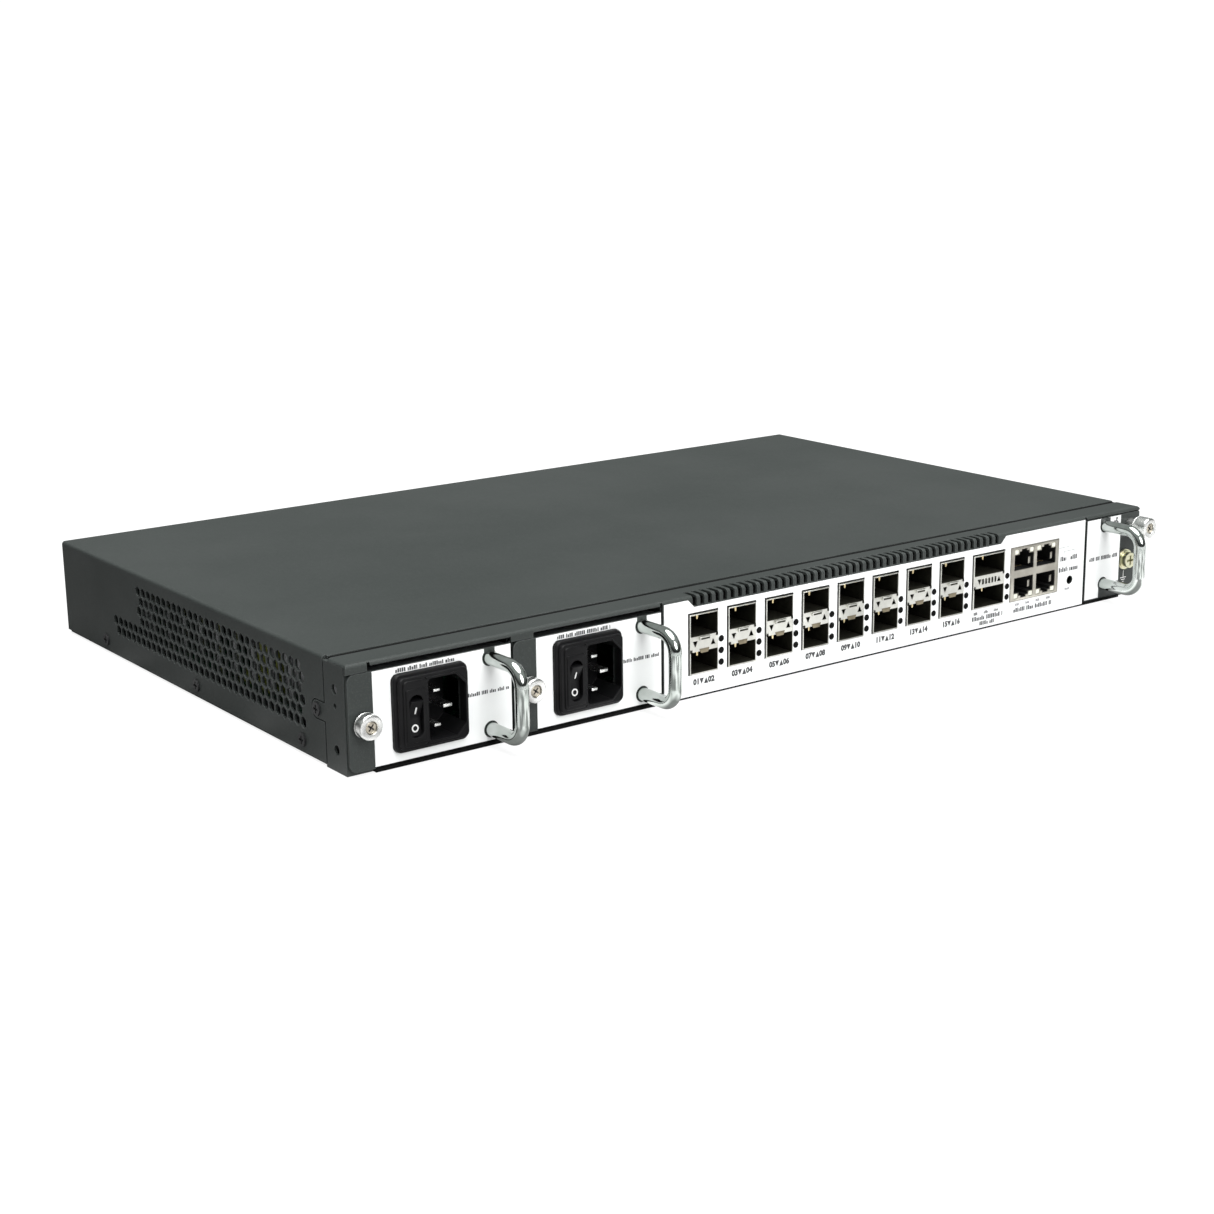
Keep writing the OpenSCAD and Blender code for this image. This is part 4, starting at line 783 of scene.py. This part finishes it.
def printed_marks():
    """Generic print: port numbers with arrows, plain dashes, a bracket beside the jacks, a fan sign, and
    below each module's label a black strip of painted shade."""
    port_y = local_box("port_label")[0].y
    numbers = Solid()
    lines = Solid()
    for number in range(1, 9):
        low, high = local_box(f"sfp_cage_{number}")
        x, z = (low.x + high.x) / 2, 6.3
        numbers.figures(f"{2 * number - 1:02d}", x - 3.95, port_y, z, 2.4)
        numbers.figures(f"{2 * number:02d}", x + 3.95, port_y, z, 2.4)
        numbers.prism(arrow(x - 1.2, z, -1, 1.15, 1.3), port_y - INK, port_y)
        numbers.prism(arrow(x + 1.2, z, 1, 1.15, 1.3), port_y - INK, port_y)
    low, high = local_box("uplink_cage")
    for k in range(3):
        dashes(numbers, low.x + 1 + 6.6 * k, low.x + 3.8 + 6.6 * k, port_y, 7.9, 1.4)
    dashes(numbers, low.x, high.x - 0.5, port_y, 5.5, 2.1)
    dashes(numbers, low.x + 5, high.x - 6, port_y, 2.9, 1.9)
    low, high = local_box("rj45_shield")
    for k in range(4):
        dashes(lines, low.x + 4 + 7 * k, low.x + 6.8 + 7 * k, port_y, 7.9, 1.2)
    dashes(numbers, low.x + 3, high.x - 3.5, port_y, 5.3, 2.1)
    x = high.x
    dashes(numbers, x + 1.6, x + 5.6, port_y, 25.2, 2.2)
    dashes(numbers, x + 8.6, x + 13, port_y, 25.2, 2.2)
    dashes(numbers, x + 0.8, x + 6.8, port_y, 19.9, 2.3)
    dashes(numbers, x + 8, x + 13.8, port_y, 19.9, 2.3)
    dashes(lines, x + 5.4, x + 8.4, port_y, 10.2, 1.2)
    for low_corner, high_corner in (((x + 0.6, 30.6), (x + 7.6, 30.8)), ((x + 4, 28.6), (x + 11, 28.8)),
                                    ((x + 3.9, 27.2), (x + 4.1, 28.8)), ((x + 10.9, 26.6), (x + 11.1, 28.8))):
        lines.prism([low_corner, (high_corner[0], low_corner[1]), high_corner, (low_corner[0], high_corner[1])],
                    port_y - INK, port_y)
    numbers.piece("port_print", PRINT, "root", "white_label")
    lines.piece("port_fine_print", GREY_PRINT, "root", "white_label")
    for module in ("psu_1", "psu_2"):
        label_y = local_box(module + "_label")[0].y
        print_lines = Solid(module_origin(module))
        dashes(print_lines, 20.6, 46.5, label_y, 37.75, 1.6)
        dashes(print_lines, 52.2, 71, label_y, 22.0, 1.5)
        print_lines.piece(module + "_print", PRINT, module, "white_label")
        # A black strip below the label: painted shade
        Solid(module_origin(module)).box((10.8, -0.2, 1.42), (72, -0.01, 2.15), 0.05).piece(
            module + "_lower_shade_strip", BLACK_AND_SHADE, module, "black_plastic")
    low, high = local_box("fan_tray_label")
    marks = Solid()
    dashes(marks, low.x + 2.2, high.x - 1.6, low.y, 21.6, 1.9)
    fan_mark(marks, high.x - 3.2, low.y, 38.6)
    marks.piece("fan_tray_print", PRINT, "fan_tray", "white_label")


def fan_mark(solid, x, y, z):
    """A small three-bladed fan sign."""
    solid.prism([(x + 0.5 * math.cos(a), z + 0.5 * math.sin(a)) for a in
                 (2 * math.pi * k / 12 for k in range(12))], y - INK, y)
    for k in range(3):
        start = solid.mark()
        blade = [(x - 0.3, z + 0.4), (x + 0.9, z + 0.7), (x + 0.8, z + 1.7), (x - 0.2, z + 1.7)]
        solid.prism(blade, y - INK, y)
        solid.turn(start, 120 * k, "Y", (x, y, z))


def label_gaps():
    """The painted plate that shows through the fan tray's label above and below the handle's feet."""
    low, high = local_box("fan_tray_label")
    handle_low, handle_high = local_box("fan_tray_handle")
    r = (handle_high.x - handle_low.x) / 2
    front = low.y - 0.06
    gaps = Solid()
    gaps.box((handle_low.x - 0.5, front, handle_high.z - r), (handle_high.x + 0.9, low.y, high.z), 0.02)
    gaps.box((handle_low.x - 0.1, front, low.z), (high.x, low.y, handle_low.z + r), 0.02)
    gaps.piece("fan_tray_gaps", PAINT, "fan_tray", "chassis_paint")


def ground_mark():
    """The white earth sign below the ground screw, on the painted flange."""
    low, high = local_box("ground_screw")
    x, y = (low.x + high.x) / 2, 1.8
    sign = Solid()
    sign.prism([(x - 0.16, 8.6), (x + 0.16, 8.6), (x + 0.16, 12), (x - 0.16, 12)], y - INK, y)
    for z, half in ((8.5, 2.1), (7.5, 1.35), (6.5, 0.6)):
        sign.prism([(x - half, z - 0.16), (x + half, z - 0.16), (x + half, z + 0.16), (x - half, z + 0.16)],
                   y - INK, y)
    sign.piece("earth_sign", MARK_WHITE, "root", "white_label")


def painted_shade_strips():
    """Black strips of painted shade in the cover's seam, above the fan tray and along the sill, and a black
    screen of painted shade behind the comb.
    """
    low, high = local_box("top_cover")
    step = local_box("front_strip")[1].z - 1.2
    # Painted shade in the seam between the front strip and the cover
    Solid().box((low.x + 2, 13.5, step), (high.x - 2, 15.8, step + 1)).piece(
        "seam_shade_strip", BLACK_AND_SHADE, "root", "black_plastic")
    # Painted shade in the gap between the fan tray's tab and the lip
    Solid().box((high.x - 12.6, 0.2, 41.28), (high.x - 0.3, 1.7, 41.7)).piece(
        "lip_shade_strip", BLACK_AND_SHADE, "root", "black_plastic")
    panel_low, panel_high = local_box("port_panel")
    # Painted shade along the sill below the modules and the port panel
    sill = Solid()
    sill.box((low.x + 11, -0.5, 0.03), (panel_low.x - 0.3, 1.75, 1.25), 0.1)
    sill.box((panel_low.x - 0.2, -0.5, 0.03), (panel_high.x, -0.01, 0.62), 0.1)
    sill.box((panel_high.x + 0.1, -0.5, 0.03), (high.x - 13.4, 1.75, 1.25), 0.1)
    sill.piece("sill_shade_strip", BLACK_AND_SHADE, "root", "black_plastic")
    left, right = local_box("sfp_cage_1")[0].x, local_box("rj45_shield")[0].x
    # Painted shade behind the comb's slots
    screen = Solid()
    screen.box((left, 1.5, 37.3), (right, 8.2, 37.6))
    screen.box((left, 7.9, 37.5), (right, 8.2, step - 0.1))
    screen.piece("comb_shade_screen", BLACK_AND_SHADE, "root", "black_plastic")


# ---------------------------------------------------------------- fans

BLADES = 7
BLADE_X, BLADE_DEPTH = 8.2, 0.92


def fan_rotors():
    """Seven-bladed rotors with curved, twisted blades."""
    for number in range(1, 5):
        node = f"fan_rotor_{number}"
        low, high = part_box(node)
        origin = Vector((low.x, (low.y + high.y) / 2, (low.z + high.z) / 2))
        tip, length = (high.z - low.z) / 2 / MM - 0.1, (high.x - low.x) / MM
        rotor = Solid(origin)
        rotor.lathe([(0, 0.1), (5.6, 0.1), (7.2, 0.5), (7.9, 1.4), (8, 2.4), (8, 14.6), (7.6, 15), (1.6, 15),
                     (1.5, 15.2), (1.5, length), (0, length)], (0, 0, 0), "X", 48)
        for blade in range(BLADES):
            start = rotor.mark()
            fan_blade(rotor, 7.4, tip)
            rotor.turn(start, blade * 360 / BLADES, "X")
        rotor.piece(f"fan_{number}_rotor", BLACK, f"fan_{number}", "black_plastic", [node])


def fan_blade(solid, root, tip):
    """One blade: chord rows from hub to tip, its angle easing outwards, swept forward, thin at its edges."""
    rows, cols = 7, 8
    layers = []
    for i in range(rows + 1):
        r = root + (tip - root) * i / rows
        pitch = math.radians(52 - 20 * i / rows)
        half = 6.4 + 0.9 * i / rows
        ring_points = []
        for surface in (1, -1):
            for j in range(cols + 1):
                t = j / cols if surface == 1 else 1 - j / cols
                s = (2 * t - 1) * half
                camber = 1.5 * (1 - (2 * t - 1) ** 2)
                thick = surface * (0.12 + 0.45 * math.sin(math.pi * t))
                along = s * math.cos(pitch) - (camber + thick) * math.sin(pitch)
                across = s * math.sin(pitch) + (camber + thick) * math.cos(pitch)
                angle = across / r + 0.25 * i / rows
                ring_points.append(solid.bm.verts.new(
                    (BLADE_X + along * BLADE_DEPTH, r * math.sin(angle), r * math.cos(angle))))
        layers.append(ring_points)
    solid._loop_solid(layers)


# ---------------------------------------------------------------- camera, light and floor

AZIMUTH, ELEVATION, ROLL = math.radians(-36.28), math.radians(14.66), math.radians(-0.75)
CAMERA_PLACE = Vector((-0.5763, -0.7790, 0.2558))
LENS_MM, SENSOR_MM = 61.78, 36
FLOOR_HALF, FLOOR_GLOW = 6000, 0.86


def make_camera():
    """A camera at the view's azimuth, elevation and roll."""
    back = Vector((math.sin(AZIMUTH) * math.cos(ELEVATION), -math.cos(AZIMUTH) * math.cos(ELEVATION),
                   math.sin(ELEVATION)))
    right = Vector((0, 0, 1)).cross(back).normalized()
    up = back.cross(right)
    axes = Matrix((right * math.cos(ROLL) + up * math.sin(ROLL),
                   up * math.cos(ROLL) - right * math.sin(ROLL), back))
    data = bpy.data.cameras.new("camera")
    data.lens = LENS_MM
    data.sensor_width = SENSOR_MM
    data.clip_start = 0.01
    camera = bpy.data.objects.new("camera", data)
    bpy.context.scene.collection.objects.link(camera)
    camera.matrix_world = Matrix.Translation(CAMERA_PLACE) @ axes.transposed().to_4x4()
    bpy.context.scene.camera = camera


def soft_sun(name, towards, exposure, spread):
    """A soft distant light; exposure is what it adds to a surface that faces it."""
    data = bpy.data.lights.new(name, "SUN")
    data.energy, data.angle = exposure * math.pi, math.radians(spread)
    light = bpy.data.objects.new(name, data)
    bpy.context.scene.collection.objects.link(light)
    light.rotation_euler = Vector(towards).to_track_quat("Z", "Y").to_euler()


def lit_floor():
    """A pale finish that glows evenly to the eye, less to the left and the back in what it lights, and
    in soft patches in what mirrors it."""
    look = material("pale_floor", (0.16, 0.16, 0.16), (0.15, 0.15, 0.15), 2, (0.8, 0.9), (60, 0.02), 0.1,
                    Specular_IOR_Level=0.1, Emission_Color=(1, 1, 1, 1))
    tree, shader, add = node_tree(look)
    rays = add("ShaderNodeLightPath")
    coords = add("ShaderNodeTexCoord").outputs["Object"]
    place = add("ShaderNodeSeparateXYZ")
    tree.links.new(coords, place.inputs["Vector"])
    across = add("ShaderNodeMath", operation="MULTIPLY_ADD")
    across.inputs[1].default_value = -0.6
    tree.links.new(place.outputs["Y"], across.inputs[0])
    tree.links.new(place.outputs["X"], across.inputs[2])
    lights = remap(tree, add, across.outputs[0], -0.36, 0.03, 0, FLOOR_GLOW)
    uneven = add("ShaderNodeMath", operation="MULTIPLY")
    tree.links.new(lights, uneven.inputs[0])
    patches = noise(tree, add, coords, 24, 1.0)
    tree.links.new(remap(tree, add, patches, 0.42, 0.58, 0.2, 1.75), uneven.inputs[1])
    mirrored = add("ShaderNodeMix")
    tree.links.new(rays.outputs["Is Glossy Ray"], mirrored.inputs["Factor"])
    tree.links.new(lights, mirrored.inputs["A"])
    tree.links.new(uneven.outputs[0], mirrored.inputs["B"])
    glow = add("ShaderNodeMix")
    tree.links.new(rays.outputs["Is Camera Ray"], glow.inputs["Factor"])
    tree.links.new(mirrored.outputs["Result"], glow.inputs["A"])
    glow.inputs["B"].default_value = FLOOR_GLOW
    tree.links.new(glow.outputs["Result"], shader.inputs["Emission Strength"])
    return look


def make_studio():
    """A pale lit floor under a dim surround, with a broad light above and a softer one in front."""
    outline = rounded(-FLOOR_HALF, -FLOOR_HALF, FLOOR_HALF, FLOOR_HALF, 900, 4)
    floor = Solid((0, 0, 0)).prism(outline, -20, cad_bounds[0].z / MM - 0.2, "Z").object("floor")
    floor.data.materials.append(lit_floor())
    world = bpy.data.worlds.new("surround")
    bpy.context.scene.world = world
    world.use_nodes = True
    tree = world.node_tree
    surround = tree.nodes["Background"]
    surround.inputs["Strength"].default_value = 1
    height = tree.nodes.new("ShaderNodeSeparateXYZ")
    tree.links.new(tree.nodes.new("ShaderNodeTexCoord").outputs["Generated"], height.inputs["Vector"])
    ramp = tree.nodes.new("ShaderNodeValToRGB")
    for stop, grey in ((0.08, 0.03), (0.22, 0.10), (0.55, 0.42)):
        point = ramp.color_ramp.elements.new(stop)
        point.color = (grey * 0.95, grey, grey * 0.98, 1)
    ramp.color_ramp.elements[0].color = (0.04, 0.04, 0.04, 1)
    ramp.color_ramp.elements[-1].color = (0.36, 0.38, 0.37, 1)
    tree.links.new(height.outputs["Z"], ramp.inputs["Fac"])
    tree.links.new(ramp.outputs["Color"], surround.inputs["Color"])
    backdrop = tree.nodes.new("ShaderNodeBackground")
    backdrop.inputs["Color"].default_value = (1, 1, 1, 1)
    backdrop.inputs["Strength"].default_value = 1.05
    chooser = tree.nodes.new("ShaderNodeMixShader")
    tree.links.new(tree.nodes.new("ShaderNodeLightPath").outputs["Is Camera Ray"], chooser.inputs["Fac"])
    tree.links.new(surround.outputs["Background"], chooser.inputs[1])
    tree.links.new(backdrop.outputs["Background"], chooser.inputs[2])
    tree.links.new(chooser.outputs["Shader"], tree.nodes["World Output"].inputs["Surface"])
    soft_sun("top_light", (-0.02, -0.10, 0.99), 1.42, 55)
    soft_sun("front_light", (-0.02, -0.85, 0.52), 0.62, 35)
    bpy.context.scene.view_settings.view_transform = "Standard"


# ---------------------------------------------------------------- the whole

make_camera()
make_studio()
paint_cad_nodes()
handles()
thumbscrews()
for module_name in ("psu_1", "psu_2"):
    inlet(module_name)
    rocker(module_name)
cages()
jacks()
light_pipes()
printed_marks()
label_gaps()
ground_mark()
painted_shade_strips()
fan_rotors()
